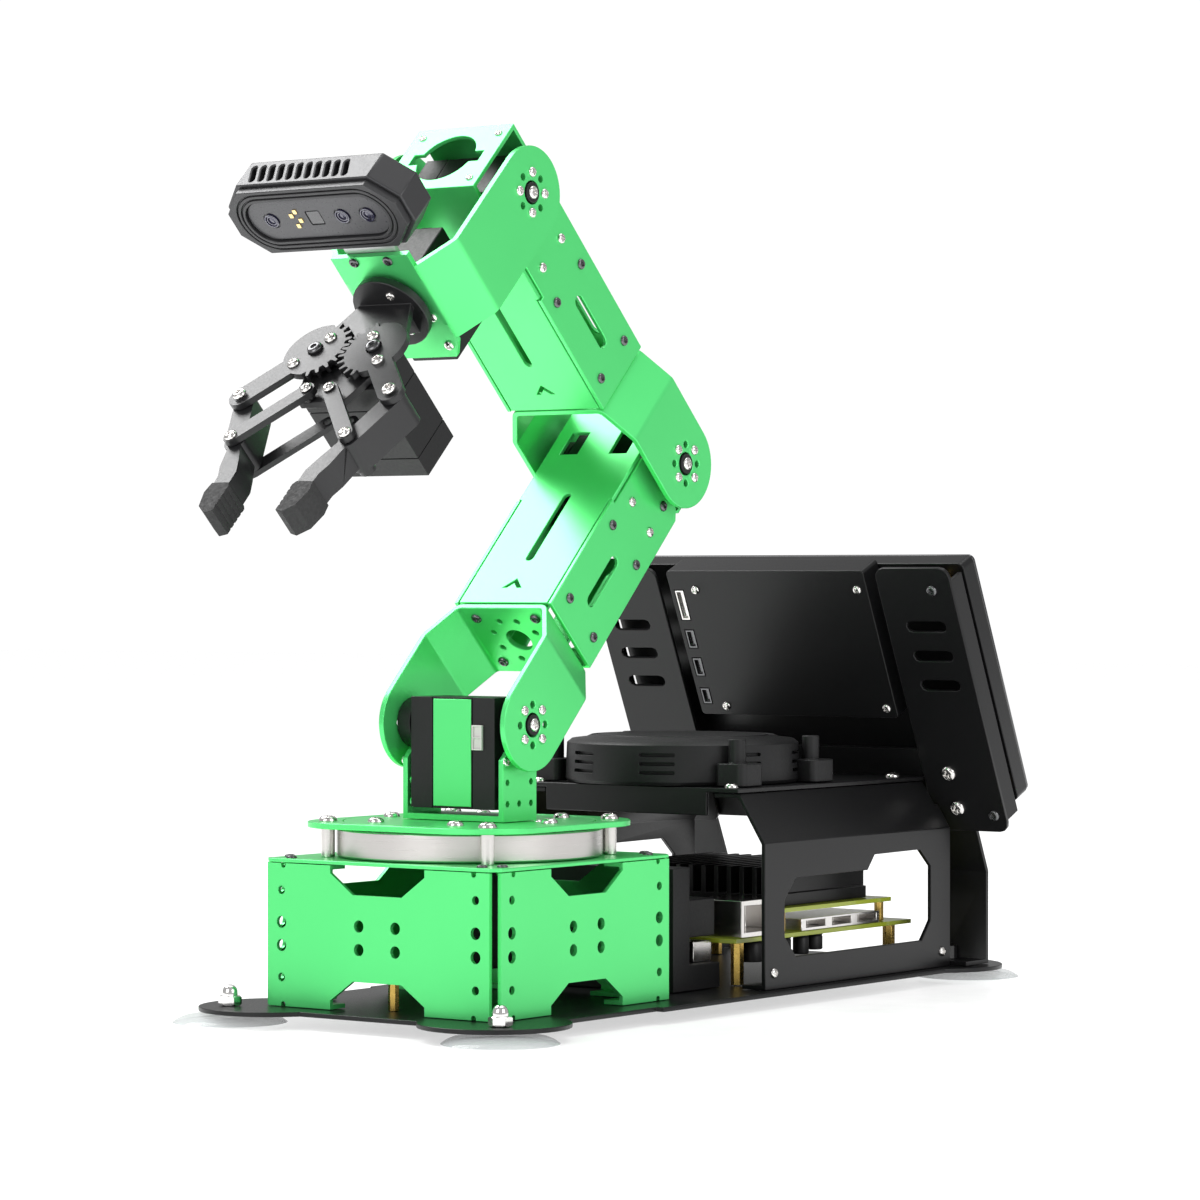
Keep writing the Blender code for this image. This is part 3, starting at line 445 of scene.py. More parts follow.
# ---- yoke, channel and cover of a link, in finer detail than the collision solids ----
EAR_Y0, EAR_Y1, EAR_R, PCD = 25.6, 27.6, 16.1, 7.0
LINK = 129.4
SERVO_T, SERVO_HALF, SERVO_UP, SERVO_DOWN = 9.64, 18.33, 9.3, 29.2


def ear_holes(diagonal):
    """Centre hole, and the four open holes between the four screwed ones."""
    out = [across_y(rod(4.2, -40, 40, 32))]
    for i in range(4):
        ang = math.pi / 2 * i + (0 if diagonal else math.pi / 4)
        out.append(across_y(rod(1.35, -40, 40, 16, PCD * math.cos(ang), PCD * math.sin(ang))))
    return out


def ear_outline(n=28):
    return [(EAR_R, 60), (-EAR_R, 60)] + [(-EAR_R * math.cos(a), -EAR_R * math.sin(a)) for a in [math.pi * i / n for i in range(n + 1)]]


def fine_yoke():
    t = 1.0
    line = fillet([(-26.6, -30), (-26.6, 27.2), (-19.0, 41.3), (19.0, 41.3), (26.6, 27.2), (26.6, -30)], 3.2)
    sheet = across_x(prism(strip(line, t), -30, 30))
    bm = meet(sheet, across_y(prism(ear_outline(), -40, 40)))
    holes = [rod(5.0, 30, 50, 28)] + [rod(1.2, 30, 50, 12, 10 * c, 10 * s) for c, s in ring_of(1.0, 8, math.pi / 8)]
    return cut(bm, *ear_holes(False), *holes)


def fine_channel():
    d, z0, z1 = 16.2, 42.6, 118.5
    outer = across_y(prism([(-d, z0), (d, z0), (d, 94.4), (d - 1.9, 94.4), (d - 1.9, z1 - 1), (d - 3, z1), (-d + 3, z1 + 1.4), (-d, z1 - 2)], -21.4, 21.4))
    inside = block(-d + 1.5, 30, -19.9, 19.9, 30, 130)
    side_slot = across_y(prism([(x, z) for z, x in slot_points(60.0, 79.0, 0.0, 2.3, 12)], -30, 30))
    mouth = block(-30, 0, -9, 9, 96, 130)
    back = [turn_to(prism(slot_points(54.0, 86.0, y, 3.0, 10), 10, 30), Z, Y, NX) for y in (-9.0, 9.0)]
    return cut(outer, inside, side_slot, mouth, *back)


def fine_cover():
    x1, x0 = 16.2, 14.7
    half = 19.4
    front = block(x0, x1, -half, half, 43.0, 95.0)
    wide = block(x0, x1, -20.7, 20.7, 94.8, 147.1)
    end = block(-16.2, x1, -20.7, 20.7, 145.6, 147.1)
    back = block(-16.2, -14.7, -20.7, 20.7, 120.4, 147.1)
    bm = fuse(front, wide, end, back)
    slot = turn_to(prism(slot_points(65.5, 96.3, 0, 1.6, 10), -30, -5), Z, Y, NX)
    mark = turn_to(prism([(50.4, -4.2), (54.8, 0), (50.4, 4.2), (50.4, 2.3), (52.7, 0), (50.4, -2.3)], -30, -5), Z, Y, NX)
    windows = [block(5, 30, 7.0, 15.0, 118.4, 129.8), block(5, 30, -15.0, -7.0, 118.4, 129.8)]
    return cut(bm, slot, mark, *windows, fuse(rod(11.5, 140, 150, 40), block(-2.6, 2.6, 10.5, 15.3, 140, 150), block(-2.6, 2.6, -15.3, -10.5, 140, 150)))


def fine_servo(boss=19.6):
    """Case in three mouldings with thin seams, and its output bosses."""
    h, t = SERVO_HALF, SERVO_T
    parts = []
    for y0, y1, inset in ((-h, -8.9, 0.0), (-8.6, 8.6, 0.0), (8.9, h, 0.0), (-8.95, 8.95, 0.35)):
        parts.append(block(-t + inset, t - inset, y0, y1, -SERVO_DOWN + inset, SERVO_UP - inset))
    bm = parts[0]
    for other in parts[1:]:
        bm = fuse(bm, other)
    return fuse(bm, across_y(rod(6.5, -boss + 0.3, boss - 0.3, 36)))


def fine_horn(side):
    a = across_y(rod(8.8, -25.3, -19.6, 40))
    a = fuse(a, across_y(rod(3.6, -28.2, -24.6, 28)))
    if side < 0:
        turn_to(a, X, NY, Z)
    return a


for tag, joint, mx, inner in (("lower", "shoulder", LOWER, "elbow"), ("forearm", "elbow", FOREARM, "wrist")):
    body = "lower_arm" if tag == "lower" else "forearm"
    piece(joint + "_fork", fine_yoke(), GREEN, body, [joint + "_yoke"], mx, 0.25)
    piece(tag + "_tray", fine_channel(), GREEN, body, [tag + "_channel"], mx, 0.22)
    piece(tag + "_front", fine_cover(), GREEN, body, [tag + "_cover"], mx, 0.22)
    piece(inner + "_case", fine_servo(), CASE, body, [inner + "_servo"], mx @ Matrix.Translation((0, 0, LINK)), 0.6, 3)
    piece(joint + "_horn_disc", fine_horn(1), CASE, body, [joint + "_horn"], mx, 0.3)
    piece(joint + "_idler_disc", fine_horn(-1), CASE, body, [joint + "_idler"], mx, 0.3)
    bright, dark = [], []
    for s in (1, -1):
        for i, (c, z) in enumerate(ring_of(PCD, 4)):
            bright.append(("pan", 1.85, 1.15, (c, s * (EAR_Y1 + 0.02), z), (0, s, 0), mx, 20 * i))
        bright.append(("pan", 2.3, 0.9, (0, s * 28.2, 0), (0, s, 0), mx, 15))
        for z, x in ((51.5, 9.8), (51.5, -9.8), (87.8, 10.0), (87.8, -10.0), (114.6, -6.9)):
            dark.append(("button", 1.9, 0.9, (x, s * 21.42, z), (0, s, 0), mx, 10))
        for z, x in ((101.9, 7.6), (101.9, -7.6)):
            bright.append(("pan", 1.9, 1.1, (x, s * 21.42, z), (0, s, 0), mx, 35))
    for sx in (-1, 1):
        for sy in (-1, 1):
            dark.append(("button", 2.0, 1.0, (sx * 11, sy * 13, 40.28), (0, 0, -1), mx, 0))
            bright.append(("pan", 1.4, 0.8, (sx * 11.6, sy * 16.6, 147.12), (0, 0, 1), mx, 40 * sx))
    screws(joint + "_bright_screws", body, SCREW, bright)
    screws(tag + "_dark_screws", body, DARK_SCREW, dark)

# ---- wrist fork and hand ----


def fine_hand_yoke():
    t, plate, half = 1.0, 55.9, 17.3
    line = fillet([(-26.6, -30), (-26.6, 42.3), (-half + 0.9, plate - t), (half - 0.9, plate - t), (26.6, 42.3), (26.6, -30)], 3.4)
    sheet = across_x(prism(strip(line, t), -30, 30))
    bm = meet(sheet, across_y(prism(ear_outline(), -40, 40)))
    apron = prism([(10, -half + 0.8), (18, -half + 0.8), (24.4, -12.5), (24.4, 12.5), (18, half - 0.8), (10, half - 0.8)], plate - 2 * t, plate)
    lip = block(-21.6, -10, -half + 0.8, half - 0.8, plate - 2 * t, plate)
    return cut(fuse(bm, apron, lip), *ear_holes(True), rod(10.2, 50, 60, 36))


piece("wrist_fork", fine_hand_yoke(), GREEN, "hand", ["wrist_yoke"], HAND, 0.25)
piece("wrist_horn_disc", fine_horn(1), CASE, "hand", ["wrist_horn"], HAND, 0.3)
piece("wrist_idler_disc", fine_horn(-1), CASE, "hand", ["wrist_idler"], HAND, 0.3)
hand_bright, hand_dark = [], []
for s in (1, -1):
    for i, (c, z) in enumerate(ring_of(PCD, 4, math.pi / 4)):
        hand_bright.append(("pan", 1.85, 1.15, (c, s * (EAR_Y1 + 0.02), z), (0, s, 0), HAND, 25 * i))
    hand_bright.append(("pan", 2.3, 0.9, (0, s * 28.2, 0), (0, s, 0), HAND, 15))
    hand_dark.append(("button", 1.9, 1.0, (-19.4, s * 7.3, 55.92), (0, 0, 1), HAND, 0))
    for n in (-6.3, -19.2):
        hand_bright.append(("pan", 1.9, 1.1, (-n, s * 12.0, 55.92), (0, 0, 1), HAND, 30))
screws("wrist_bright_screws", "hand", SCREW, hand_bright)
screws("wrist_dark_screws", "hand", DARK_SCREW, hand_dark)
dressed("roll_servo", CASE, 0.5, 3)
dressed("camera_bracket", ALU, 0.2)

# ---- depth camera ----
CAM_N0, CAM_N1, CAM_L0, CAM_L1, CAM_W = 33.6, 62.6, 52.6, 67.4, 37.3
TO_HAND = (Y, NX, Z)
MID = (CAM_N0 + CAM_N1) / 2


def octagon(w, n0, n1, c):
    return [(-w + c, n0), (w - c, n0), (w, n0 + c), (w, n1 - c), (w - c, n1), (-w + c, n1), (-w, n1 - c), (-w, n0 + c)]


def camera_case():
    body = turn_to(prism(octagon(CAM_W, CAM_N0, CAM_N1, 9.0), CAM_L0, CAM_L1 - 2.8), *TO_HAND)
    vents = []
    for i in range(11):
        m = Matrix.Translation((-CAM_N1, -24 + 4.0 * i, 59.0)) @ Matrix.Rotation(math.radians(-22), 4, "X")
        slot = turn_to(prism(slot_points(-3.3, 3.3, 0, 0.95, 6), -3.6, 2.0), Z, Y, NX)
        bmesh.ops.transform(slot, matrix=m, verts=slot.verts)
        vents.append(slot)
    return cut(body, *vents)


def camera_face():
    face = turn_to(prism(octagon(CAM_W - 1.3, CAM_N0 + 1.3, CAM_N1 - 1.3, 8.5), CAM_L1 - 2.7, CAM_L1), *TO_HAND)
    pocket = turn_to(prism(slot_points(-21.0, 21.0, MID, 8.6, 20), CAM_L1 - 2.3, CAM_L1 + 5), *TO_HAND)
    grooves = [turn_to(cut(prism(slot_points(-21.0, 21.0, MID, r + 0.6, 20), CAM_L1 - 0.8, CAM_L1 + 5),
                           prism(slot_points(-21.0, 21.0, MID, r, 20), CAM_L1 - 3, CAM_L1 + 9)), *TO_HAND) for r in (9.7, 11.4)]
    for cutter in [pocket] + grooves:
        face = cut(face, cutter)
    return face


def camera_panel():
    plate = turn_to(prism(slot_points(-21.0, 21.0, MID, 8.2, 20), CAM_L1 - 2.1, CAM_L1 - 1.1), *TO_HAND)
    holes = [turn_to(rod(3.3, CAM_L1 - 1.6, CAM_L1 + 3, 28, y, MID), *TO_HAND) for y in (-20.0, 10.5, 21.2)]
    emitter = turn_to(prism(round_rect(-4.4, 1.8, MID - 3.1, MID + 3.1, 0.7, 4), CAM_L1 - 1.6, CAM_L1 + 3), *TO_HAND)
    return cut(plate, *holes, emitter)


def lens(r=2.7):
    return turned([(0, 0.62), (r * 0.34, 0.5), (r * 0.5, 0.2), (r * 0.56, 0.2), (r * 0.56, 0.7), (r * 0.7, 0.7), (r * 0.7, 0.3), (r * 0.86, 0.3), (r * 0.86, 0.9), (r, 0.9), (r, 0), (0, 0)], 36)


piece("camera_case", camera_case(), GREY, "hand", ["depth_camera"], HAND, 0.5, 3)
piece("camera_face", camera_face(), GREY, "hand", [], HAND, 0.2, 2, dissolve=False)
piece("camera_panel", camera_panel(), PANEL, "hand", ["camera_window"], HAND, 0.0, 2, dissolve=False)
for i, y in enumerate((-20.0, 10.5, 21.2)):
    piece("camera_lens_%d" % i, turn_to(lens(), *TO_HAND, at=(-MID, y, CAM_L1 - 1.55)), LENS, "hand", [], HAND, 0.0)
piece("camera_emitter", turn_to(prism(round_rect(-4.0, 1.4, MID - 2.7, MID + 2.7, 0.6, 4), CAM_L1 - 1.58, CAM_L1 - 1.2), *TO_HAND), GLASS, "hand", [], HAND, 0.1)

piece("camera_contacts", turn_to(joined([prism(round_rect(y - 0.8, y + 0.8, MID + n - 0.9, MID + n + 0.9, 0.3, 3), CAM_L1 - 1.3, CAM_L1 - 0.7) for y, n in ((-10.5, 1.6), (-8.2, 3.2), (-7.6, -0.6), (-9.8, -2.8))]), *TO_HAND), GOLD, "hand", [], HAND, 0.08)

# ---- gripper ----
GEAR_PIVOT_Z, GEAR_PIVOT_Y, GEAR_H, CRANK, OPEN = 86.8, 12.6, 8.2, 29.6, math.radians(41.5)
INNER_Z, INNER_Y = 106.4, 4.9


def flat(points, h0, h1):
    return turn_to(prism(points, h0, h1), Z, Y, NX)


def hand_points(side):
    pivot = (GEAR_PIVOT_Z, side * GEAR_PIVOT_Y)
    outer = (pivot[0] + CRANK * math.cos(OPEN), pivot[1] + side * CRANK * math.sin(OPEN))
    inner = (INNER_Z, side * INNER_Y)
    tip = (inner[0] + CRANK * math.cos(OPEN), inner[1] + side * CRANK * math.sin(OPEN))
    return pivot, outer, inner, tip


def rubber_tip(side):
    """Pad over the end of a jaw, its flat inner face grooved."""
    outline = [(148.6, side * 21.8), (148.4, side * 14.6), (150.0, side * 13.5), (161.8, side * 13.5), (162.8, side * 16.6), (159.6, side * 20.8), (153.0, side * 22.6)]
    pad = flat(outline, -5.2, 5.8)
    ribs = [flat([(z, side * 12.0), (z + 0.8, side * 12.0), (z + 0.8, side * 13.8), (z, side * 13.8)], -9, 9) for z in (151.6, 154.0, 156.4, 158.8)]
    return cut(pad, *ribs)


def fine_finger(side):
    """Knuckle between the two joints, and a bent bar out to the pad."""
    pivot, outer, inner, tip = hand_points(side)
    root = flat(bar(outer, tip, 3.9, 14), -6.4, GEAR_H - 2.7)
    neck = flat([(tip[0] - 3.0, tip[1] + side * 2.4), (tip[0] + 1.5, tip[1] - side * 3.6), (tip[0] + 9.0, side * 17.2), (143.0, side * 14.9), (151.0, side * 14.6),
                 (151.0, side * 21.0), (145.0, side * 21.6), (tip[0] + 12.0, side * 23.6)], -4.6, GEAR_H - 2.7)
    return cut(fuse(root, neck), flat(ring_points(2.6, 20, *tip), -20, 20))


def bar(a, b, half, n=6):
    ang = math.atan2(b[1] - a[1], b[0] - a[0])
    pts = [(b[0] + half * math.cos(ang + t), b[1] + half * math.sin(ang + t)) for t in [math.pi * (i / n - 0.5) for i in range(n + 1)]]
    pts += [(a[0] - half * math.cos(ang + t), a[1] - half * math.sin(ang + t)) for t in [math.pi * (i / n - 0.5) for i in range(n + 1)]]
    return pts


def fine_gripper_servo():
    """Three mouldings with a thin seam between them."""
    parts = [block(-x1, -x0, -17.4 + i, 17.4 - i, 81.0 + i, 100.2 - i) for x0, x1, i in ((-38.2, -30.4, 0.0), (-30.1, -8.6, 0.0), (-8.3, 1.3, 0.0), (-37.8, 0.9, 0.4))]
    bm = parts[0]
    for other in parts[1:]:
        bm = fuse(bm, other)
    return bm


dressed("gripper_frame", GRIP, 0.25)
piece("gripper_case", fine_gripper_servo(), CASE, "gripper", ["gripper_servo"], HAND, 0.5, 3)
frame_bright, frame_dark = [], []
for side, tag in ((1, "left"), (-1, "right")):
    pivot, outer, inner, tip = hand_points(side)
    dressed("gear_arm_" + tag, GRIP, 0.18)
    dressed("inner_link_" + tag, GRIP, 0.2)
    piece("jaw_" + tag, fine_finger(side), GRIP, "finger_" + tag, ["finger_" + tag], HAND, 0.5, 3)
    piece("finger_pad_" + tag, rubber_tip(side), RUBBER, "finger_" + tag, [], HAND, 0.7, 3)
    arm_places = [("pan", 2.3, 1.4, (-GEAR_H - 0.02, side * y, z), (-1, 0, 0), HAND, 20) for z, y in ((81.4, 9.2), (93.6, 18.2))]
    screws("gear_screws_" + tag, "gear_arm_" + tag, SCREW, arm_places)
    screws("link_screws_" + tag, "inner_link_" + tag, SCREW, [("pan", 2.3, 1.3, (-GEAR_H - 0.02, tip[1], tip[0]), (-1, 0, 0), HAND, 35)])
    screws("finger_screw_" + tag, "finger_" + tag, SCREW, [("button", 2.5, 1.3, (-GEAR_H - 0.8, outer[1], outer[0]), (-1, 0, 0), HAND, 0)])
    frame_bright.append(("pan", 2.2, 1.0, (-GEAR_H - 0.4, inner[1], inner[0]), (-1, 0, 0), HAND, 15))
    frame_dark.append(("button", 2.7, 1.0, (-GEAR_H - 0.7, pivot[1], pivot[0]), (-1, 0, 0), HAND, 0))
for c, s in ring_of(9.0, 3, math.pi / 6):
    frame_bright.append(("pan", 1.7, 0.9, (c, s, 60.62), (0, 0, 1), HAND, 0))
screws("gripper_bright_screws", "gripper", SCREW, frame_bright)
screws("gripper_dark_screws", "gripper", DARK_SCREW, frame_dark)

# ---- base ----
BOX, HOLE_Z = 50.86, 30.7


def fine_panel():
    wall = across_x(prism([(-48, 5.8), (48, 5.8), (48, 54.9), (-48, 54.9)], BOX - 1.5, BOX))
    for z in (5.8, 53.4):
        wall = fuse(wall, block(BOX - 8.0, BOX - 0.6, -40.4, 40.4, z, z + 1.5))
    cutters = []
    for side in (-1, 1):
        for z, r in ((15.0, 1.5), (4.0, 2.1), (-4.0, 2.1), (-15.0, 1.5)):
            cutters.append(rod(r, BOX - 4, BOX + 4, 24, side * 42.2, HOLE_Z + z))
        for z in (-4.0, 4.0):
            cutters.append(rod(2.1, BOX - 4, BOX + 4, 24, side * 7.92, HOLE_Z + z))
        for z0, z1 in ((0, 7.4), (53.3, 60)):
            cutters.append(prism(round_rect(side * 41.4 - 1.0, side * 41.4 + 1.0, z0, z1, 0.9, 5), BOX - 10, BOX + 4))
    cutters.append(prism([(-20.5, 70), (-20.5, 52.3), (-10.6, 45.2), (10.6, 45.2), (20.5, 52.3), (20.5, 70)], BOX - 12, BOX + 4))
    cutters.append(prism([(-20.5, 0), (-20.5, 8.9), (-10.6, 15.8), (10.6, 15.8), (20.5, 8.9), (20.5, 0)], BOX - 12, BOX + 4))
    return cut(wall, *[across_x(c) for c in cutters])


for tag, turn in (("front", 0), ("left", 90), ("rear", 180), ("right", 270)):
    piece("panel_" + tag, fine_panel(), GREEN, "base", ["box_panel_" + tag], Matrix.Rotation(math.radians(turn), 4, "Z"), 0.2)
dressed("base_plate", BLACK, 0.25)
dressed("box_lid", GREEN, 0.25)
dressed("yaw_servo", CASE, 0.5)
FEET = {"front_left": (58.7, 58.7), "front_right": (58.7, -58.7), "rear_left": (-241.4, 54.5), "rear_right": (-241.4, -54.5)}
cup_profile = [(0, 3.6), (5.0, 3.6), (6.2, 3.45), (8, 3.15), (12, 2.85), (15.5, 2.3), (18, 1.3), (19.4, 0.35), (19.8, 0.0), (19.0, 0.0), (16.5, 0.75), (13, 1.3), (6, 1.9), (0, 1.9)]
nut_profile = [(0, 12.85), (0.8, 12.78), (1.6, 12.45), (2.2, 11.8), (2.6, 10.9), (2.72, 9.9), (2.72, 8.2), (0, 8.2)]
for tag, (x, y) in FEET.items():
    piece("cup_" + tag, moved(turned(cup_profile, 64), x, y), CLEAR, "base", ["suction_cup_" + tag], WORLD, 0.0)
    hexagon = meet(rod(4.12, 5.8, 9.0, 6), turned([(0, 5.8), (3.7, 5.8), (4.2, 6.3), (4.2, 8.4), (3.5, 9.0), (0, 9.0)], 40))
    piece("nut_" + tag, moved(fuse(hexagon, turned(nut_profile, 40)), x, y), CHROME, "base", ["dome_nut_" + tag], WORLD, 0.1)
ring_profile = [(45.6, 66.5), (41.2, 66.5), (41.2, 56.7), (45.6, 56.7), (46.2, 57.3), (46.2, 65.9)]
piece("ring_race", turned(ring_profile, 128), RING, "base", ["bearing_outer_ring"], WORLD, 0.12)
clamp = prism(round_rect(-46.5, 46.5, -46.5, 46.5, 23.0, 16), 66.8, 68.8)
clamp = cut(clamp, rod(44.1, 60, 70, 96))
piece("clamp_plate", clamp, GREEN, "base", ["bearing_clamp"], WORLD, 0.25)
pillars = joined([rod(2.4, 56.5, 66.7, 32, sx * 34.8, sy * 34.8) for sx in (-1, 1) for sy in (-1, 1)])
piece("clamp_pillars", pillars, STEEL, "base", [], WORLD, 0.15)
piece("cable_posts", joined([rod(1.9, 5.6, 17.0, 6, 40.0, y) for y in (-1.5, 24.0)]), BRASS, "base", [], WORLD, 0.15)
lid_screws = [("button", 1.9, 0.9, (sx * a, sy * b, 56.42), (0, 0, 1), WORLD, 0) for a, b in ((46.3, 41.5), (41.5, 46.3)) for sx in (-1, 1) for sy in (-1, 1)]
clamp_screws = [("pan", 3.2, 2.0, (sx * 34.8, sy * 34.8, 68.82), (0, 0, 1), WORLD, 20 * sx) for sx in (-1, 1) for sy in (-1, 1)]
screws("lid_screws", "base", DARK_SCREW, lid_screws)
screws("clamp_screws", "base", SCREW, clamp_screws)

# ---- turntable ----
disc = turned([(0, 68.8), (43.6, 68.8), (43.6, 66.8), (40.7, 66.8), (40.7, 57.1), (36, 57.1), (36, 66.8), (10, 66.8), (10, 60.0), (0, 60.0)], 128)
piece("disc", disc, GREEN, "turntable", ["turntable_disc"], WORLD, 0.25)
dressed("shoulder_bracket", GREEN, 0.3, 3)
piece("shoulder_case", fine_servo(), CASE, "turntable", ["shoulder_servo"], Matrix.Translation(SHOULDER), 0.6, 3)
front_band = joined([block(9.5, 9.95, -8.24, 8.24, 74.0, 111.0)])
socket = cut(block(9.5, 10.6, 9.0, 13.4, 93.6, 102.2), block(9.8, 12, 9.5, 12.9, 94.1, 97.7), block(9.8, 12, 9.5, 12.9, 98.1, 101.7))
piece("shoulder_socket", socket, SILVER_PLASTIC, "turntable", [], WORLD, 0.1)
piece("shoulder_band", front_band, GREEN, "turntable", [], WORLD, 0.15)
disc_screws = [("pan", 2.9, 1.8, (c, s, 68.82), (0, 0, 1), WORLD, 30) for c, s in ring_of(34.7, 6, math.pi / 6)]
for s in (1, -1):
    disc_screws.append(("pan", 1.7, 1.0, (8.0, s * 22.02, 89.6), (0, s, 0), WORLD, 25))
    disc_screws.append(("pan", 1.5, 0.9, (-5.0, s * 26.0, 68.82), (0, 0, 1), WORLD, 0))
screws("disc_screws", "turntable", SCREW, disc_screws)

# ---- rear frame ----
TILT = math.radians(24.5)
SCREEN = Matrix(((0, math.sin(TILT), math.cos(TILT), -190.3), (1, 0, 0, 0), (0, math.cos(TILT), -math.sin(TILT), 134.7), (0, 0, 0, 1)))
for tag in ("left", "right"):
    dressed("side_bracket_" + tag, BLACK, 0.25)
    dressed("screen_wing_" + tag, BLACK, 0.25)
dressed("rear_deck", BLACK, 0.3)
dressed("screen_stand", BLACK, 0.25)
z = 77.8
puck = [(0, z + 17.4), (31.5, z + 17.4), (31.8, z + 16.9), (33.6, z + 16.9), (34.0, z + 17.3), (36, z + 16.4), (41.2, z + 15.8), (43.0, z + 14.4), (43.6, z + 1.2), (42.8, z), (0, z)]
slits = []
for i in range(8):
    for h in (4.6, 7.8, 11.0):
        slit = turn_to(prism(slot_points(-6.0, 6.0, z + h, 0.62, 5), 41.0, 46.0), Y, Z, X)
        bmesh.ops.transform(slit, matrix=Matrix.Rotation(math.radians(22.5 + 45 * i), 4, "Z"), verts=slit.verts)
        slits.append(slit)
piece("puck", moved(cut(turned(puck, 96), *slits), -128.5), CASE, "base", ["mic_array"], WORLD, 0.12)
lugs = []
for sx in (-1, 1):
    for sy in (-1, 1):
        lugs.append(fuse(prism(round_rect(sx * 23.5 - 7.0, sx * 23.5 + 7.0, sy * 41.5 - 6.5, sy * 41.5 + 6.5, 3, 8), z, z + 8.2), rod(3.2, z + 4, z + 16.9, 32, sx * 24.0, sy * 41.0)))
piece("puck_lugs", moved(joined(lugs), -128.5), CASE, "base", [], WORLD, 0.4, 3)
can = prism(round_rect(-82.4, 82.4, -78.0, 20.8, 2.5, 8), -19.2, -11.5)
piece("display_can", can, BLACK, "base", ["display_panel"], SCREEN, 0.35, 3)
piece("display_glass", prism(round_rect(-82.2, 82.2, -77.8, 20.6, 2.4, 8), -20.6, -19.3), SCREEN_GLASS, "base", [], SCREEN, 0.2)
bosses = joined([rod(2.5, -11.4, -1.9, 24, sx * a, t) for sx in (-1, 1) for a, t in ((74.1, 15.0), (77.8, -70.0))])
piece("display_bosses", bosses, BRASS, "base", [], SCREEN, 0.2)
cover = prism(round_rect(-45.3, 45.3, -38.4, 23.0, 1.5, 6), -11.2, -0.2)
ports = [(2.0, 15.0), (-10.0, -2.0), (-22.0, -14.0), (-34.0, -27.0)]
cover = cut(cover, *[block(-43.4, -39.0, a, b, -2.0, 5) for a, b in ports])
piece("driver_cover", cover, BLACK, "base", ["display_driver"], SCREEN, 0.3, 3)
def port(a, b):
    return cut(block(-43.1, -39.3, a + 0.3, b - 0.3, -2.0, -0.1), block(-42.5, -39.9, a + 0.9, b - 0.9, -1.4, 2))


piece("display_port", port(*ports[0]), STEEL, "base", [], SCREEN, 0.08)
piece("driver_ports", joined([port(a, b) for a, b in ports[1:]]), DARK_SCREW, "base", [], SCREEN, 0.08)
wing_dark = [("button", 2.2, 1.1, (s * a, t, 0.02), (0, 0, 1), SCREEN, 0) for s in (1, -1) for a, t in ((74.1, 15.0), (77.8, -78.5))]
wing_bright = [("pan", 3.0, 1.8, (s * a, t, 0.02), (0, 0, 1), SCREEN, 20) for s in (1, -1) for a, t in ((62.1, -61.1), (62.4, -75.9))]
wing_bright += [("pan", 1.8, 1.1, (a, t, -0.18), (0, 0, 1), SCREEN, 40) for a, t in ((-33.3, 15.1), (41.0, 15.2), (-32.7, -34.6), (41.2, -34.3))]
screws("wing_dark_screws", "base", DARK_SCREW, wing_dark)
screws("wing_bright_screws", "base", SCREW, wing_bright)
deck_places = [("pan", 2.8, 1.7, (x, y, 77.52), (0, 0, 1), WORLD, 25) for x, y in ((-206, 43), (-206, -43), (-98, 43), (-98, -43))]
deck_places += [("pan", 1.9, 1.1, (x, s * 60.02, 11.5), (0, s, 0), WORLD, 0) for x in (-214.0, -100.0) for s in (1, -1)]
screws("deck_screws", "base", SCREW, deck_places)

# ---- electronics ----
board = block(-216.0, -98.0, -45, 45, 21.4, 23.0)
piece("carrier_pcb", board, PCB, "base", ["carrier_board"], WORLD, 0.1)
posts = [rod(2.4, 5.8, 21.3, 6, x, y) for x in (-208.0, -106.0) for y in (-40.0, 40.0)] + [rod(1.8, 23.1, 30.3, 6, x, y) for x in (-201.0, -134.0) for y in (-38.5, 40.0)]
piece("board_posts", joined(posts), BRASS, "base", [], WORLD, 0.15)
jacks = [cut(block(-195, -142, 22, 44, 23.1, 27.5), *[block(-193 + i * 17.4, -180 + i * 17.4, 36, 50, 24.1, 26.7) for i in range(3)]),
         cut(block(-128, -102, 22, 44.5, 23.1, 36.5), block(-126, -104, 30, 50, 25, 34.5))]
piece("board_jacks", joined(jacks), STEEL, "base", [], WORLD, 0.2)
piece("board_header", cut(block(-128, -102, -20, 6, 23.1, 34.0), block(-126, -104, -18, 4, 27, 40)), SILVER_PLASTIC, "base", [], WORLD, 0.2)
caps = [moved(turned([(0, 21.3), (r, 21.3), (r, 20.9), (r - 0.25, 20.6), (r, 20.2), (r, 21.6 - h), (r - 0.5, 21.3 - h), (0, 21.3 - h)], 24), x, y)
        for x, y, r, h in ((-135, 40, 3.4, 9.0), (-146, 41, 3.0, 7.0), (-156, 40, 3.4, 6.0), (-118, 38, 4.5, 8.0))]
piece("board_capacitors", joined(caps), CASE, "base", [], WORLD, 0.0)
piece("compute_pcb", block(-205.0, -130.0, -42, 43, 30.4, 32.0), PCB, "base", ["compute_module"], WORLD, 0.1)
fins = [block(-196.0, -132.0, -34 + i * 5.7, -32 + i * 5.7, 36.0, 46.5) for i in range(13)]
sink = block(-196.0, -132.0, -34.5, 37.5, 32.1, 36.6)
for fin in fins:
    sink = fuse(sink, fin)
piece("heatsink", sink, BLACK, "base", [], WORLD, 0.2)
dressed("connector_module", CASE, 0.4, 3)
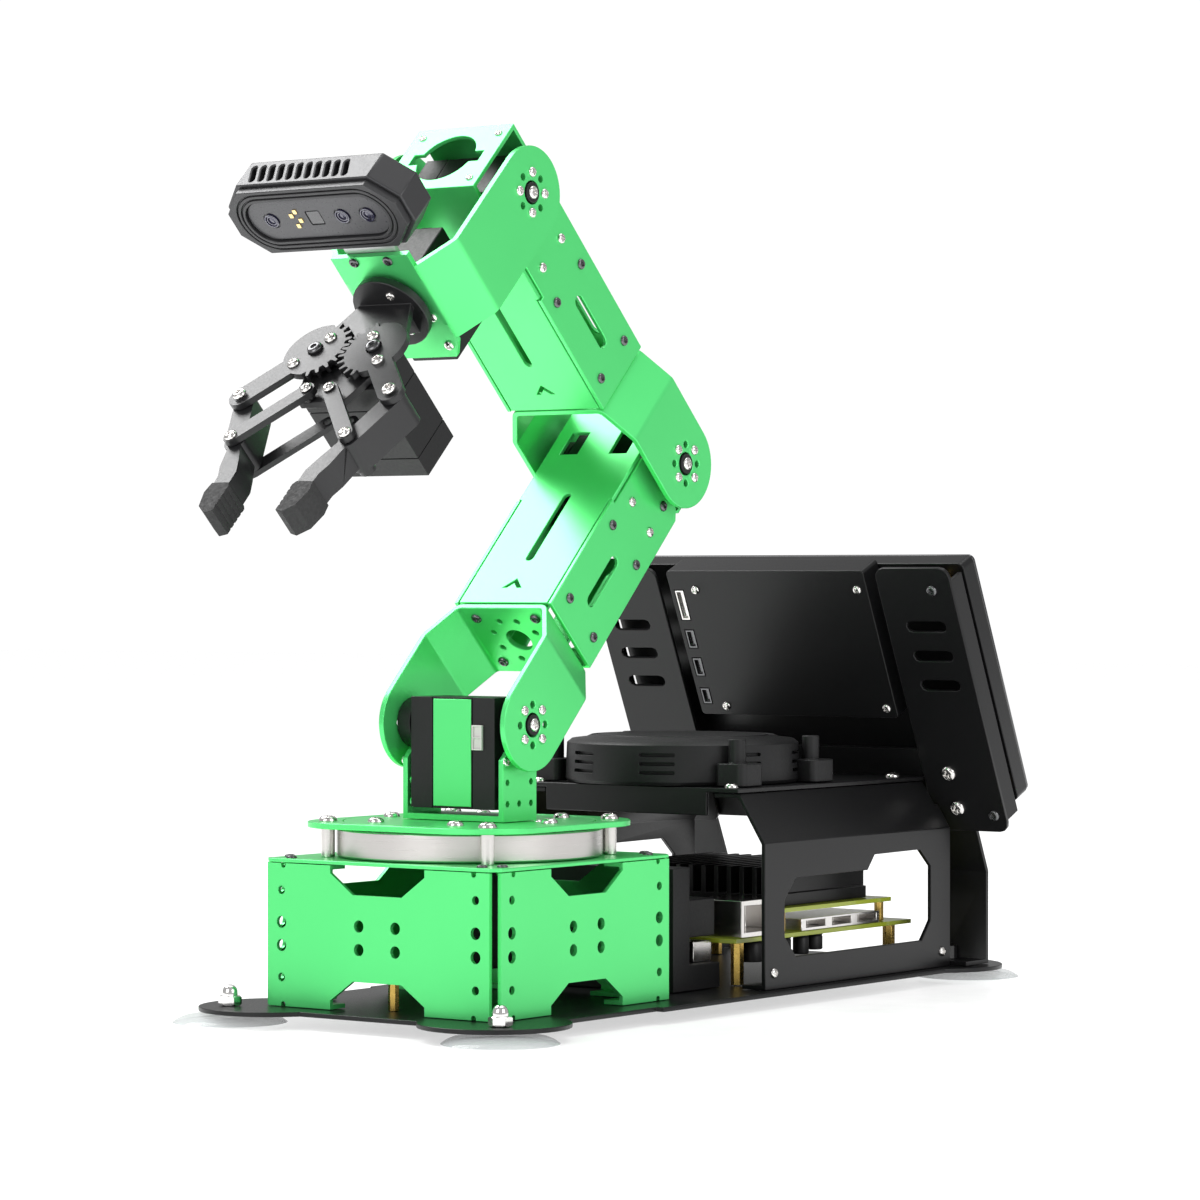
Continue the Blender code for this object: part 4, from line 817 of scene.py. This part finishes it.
piece("module_sockets", joined([cut(block(-95.2, -84.0, y, y + 14, 15.3, 22.5), block(-99, -86.5, y + 1.2, y + 12.8, 16.4, 21.4)) for y in (-36.0, -18.0, 4.0, 22.0)]), STEEL, "base", [], WORLD, 0.15)

# ---- floor and light ----
floor_bm = bmesh.new()
bmesh.ops.create_grid(floor_bm, x_segments=2, y_segments=2, size=6.0)
floor_mesh = bpy.data.meshes.new("floor")
floor_bm.to_mesh(floor_mesh)
floor_bm.free()
floor = bpy.data.objects.new("floor", floor_mesh)
bpy.context.scene.collection.objects.link(floor)
floor.location.z = -0.0006
FLOOR = finish_material("floor_pale", (0.90, 0.90, 0.90), (0.88, 0.88, 0.88), 0.16, 0.0, 60, 0.0, 0.6)
floor_shader = FLOOR.node_tree.nodes["Principled BSDF"]
floor_shader.inputs["Emission Color"].default_value = (1.0, 1.0, 1.0, 1.0)
floor_shader.inputs["Emission Strength"].default_value = 0.52
floor_mesh.materials.append(FLOOR)

world = bpy.data.worlds.new("studio")
world.use_nodes = True
wt = world.node_tree
path = wt.nodes.new("ShaderNodeLightPath")
strength = wt.nodes.new("ShaderNodeMapRange")
strength.inputs["To Min"].default_value = 0.50
strength.inputs["To Max"].default_value = 1.05
wt.links.new(path.outputs["Is Camera Ray"], strength.inputs["Value"])
wt.links.new(strength.outputs["Result"], wt.nodes["Background"].inputs["Strength"])
wt.nodes["Background"].inputs["Color"].default_value = (1.0, 1.0, 1.0, 1.0)
bpy.context.scene.world = world


def area(name, at, target, size, watts):
    data = bpy.data.lights.new(name, "AREA")
    data.shape = "RECTANGLE"
    data.size, data.size_y = size
    data.energy = watts
    obj = bpy.data.objects.new(name, data)
    bpy.context.scene.collection.objects.link(obj)
    at, target = Vector(at), Vector(target)
    obj.location = at
    obj.rotation_euler = (target - at).to_track_quat("-Z", "Y").to_euler()


area("key", (-0.02, -0.95, 1.25), (-0.03, 0, 0.16), (0.75, 0.75), 17)
area("front", (1.5, -0.1, 0.75), (0, 0, 0.10), (0.9, 0.9), 10)
area("side", (0.1, 1.5, 0.7), (-0.05, 0, 0.12), (0.9, 0.8), 9)
area("top", (-0.25, 0.15, 1.6), (-0.08, 0, 0.1), (1.1, 1.1), 9)
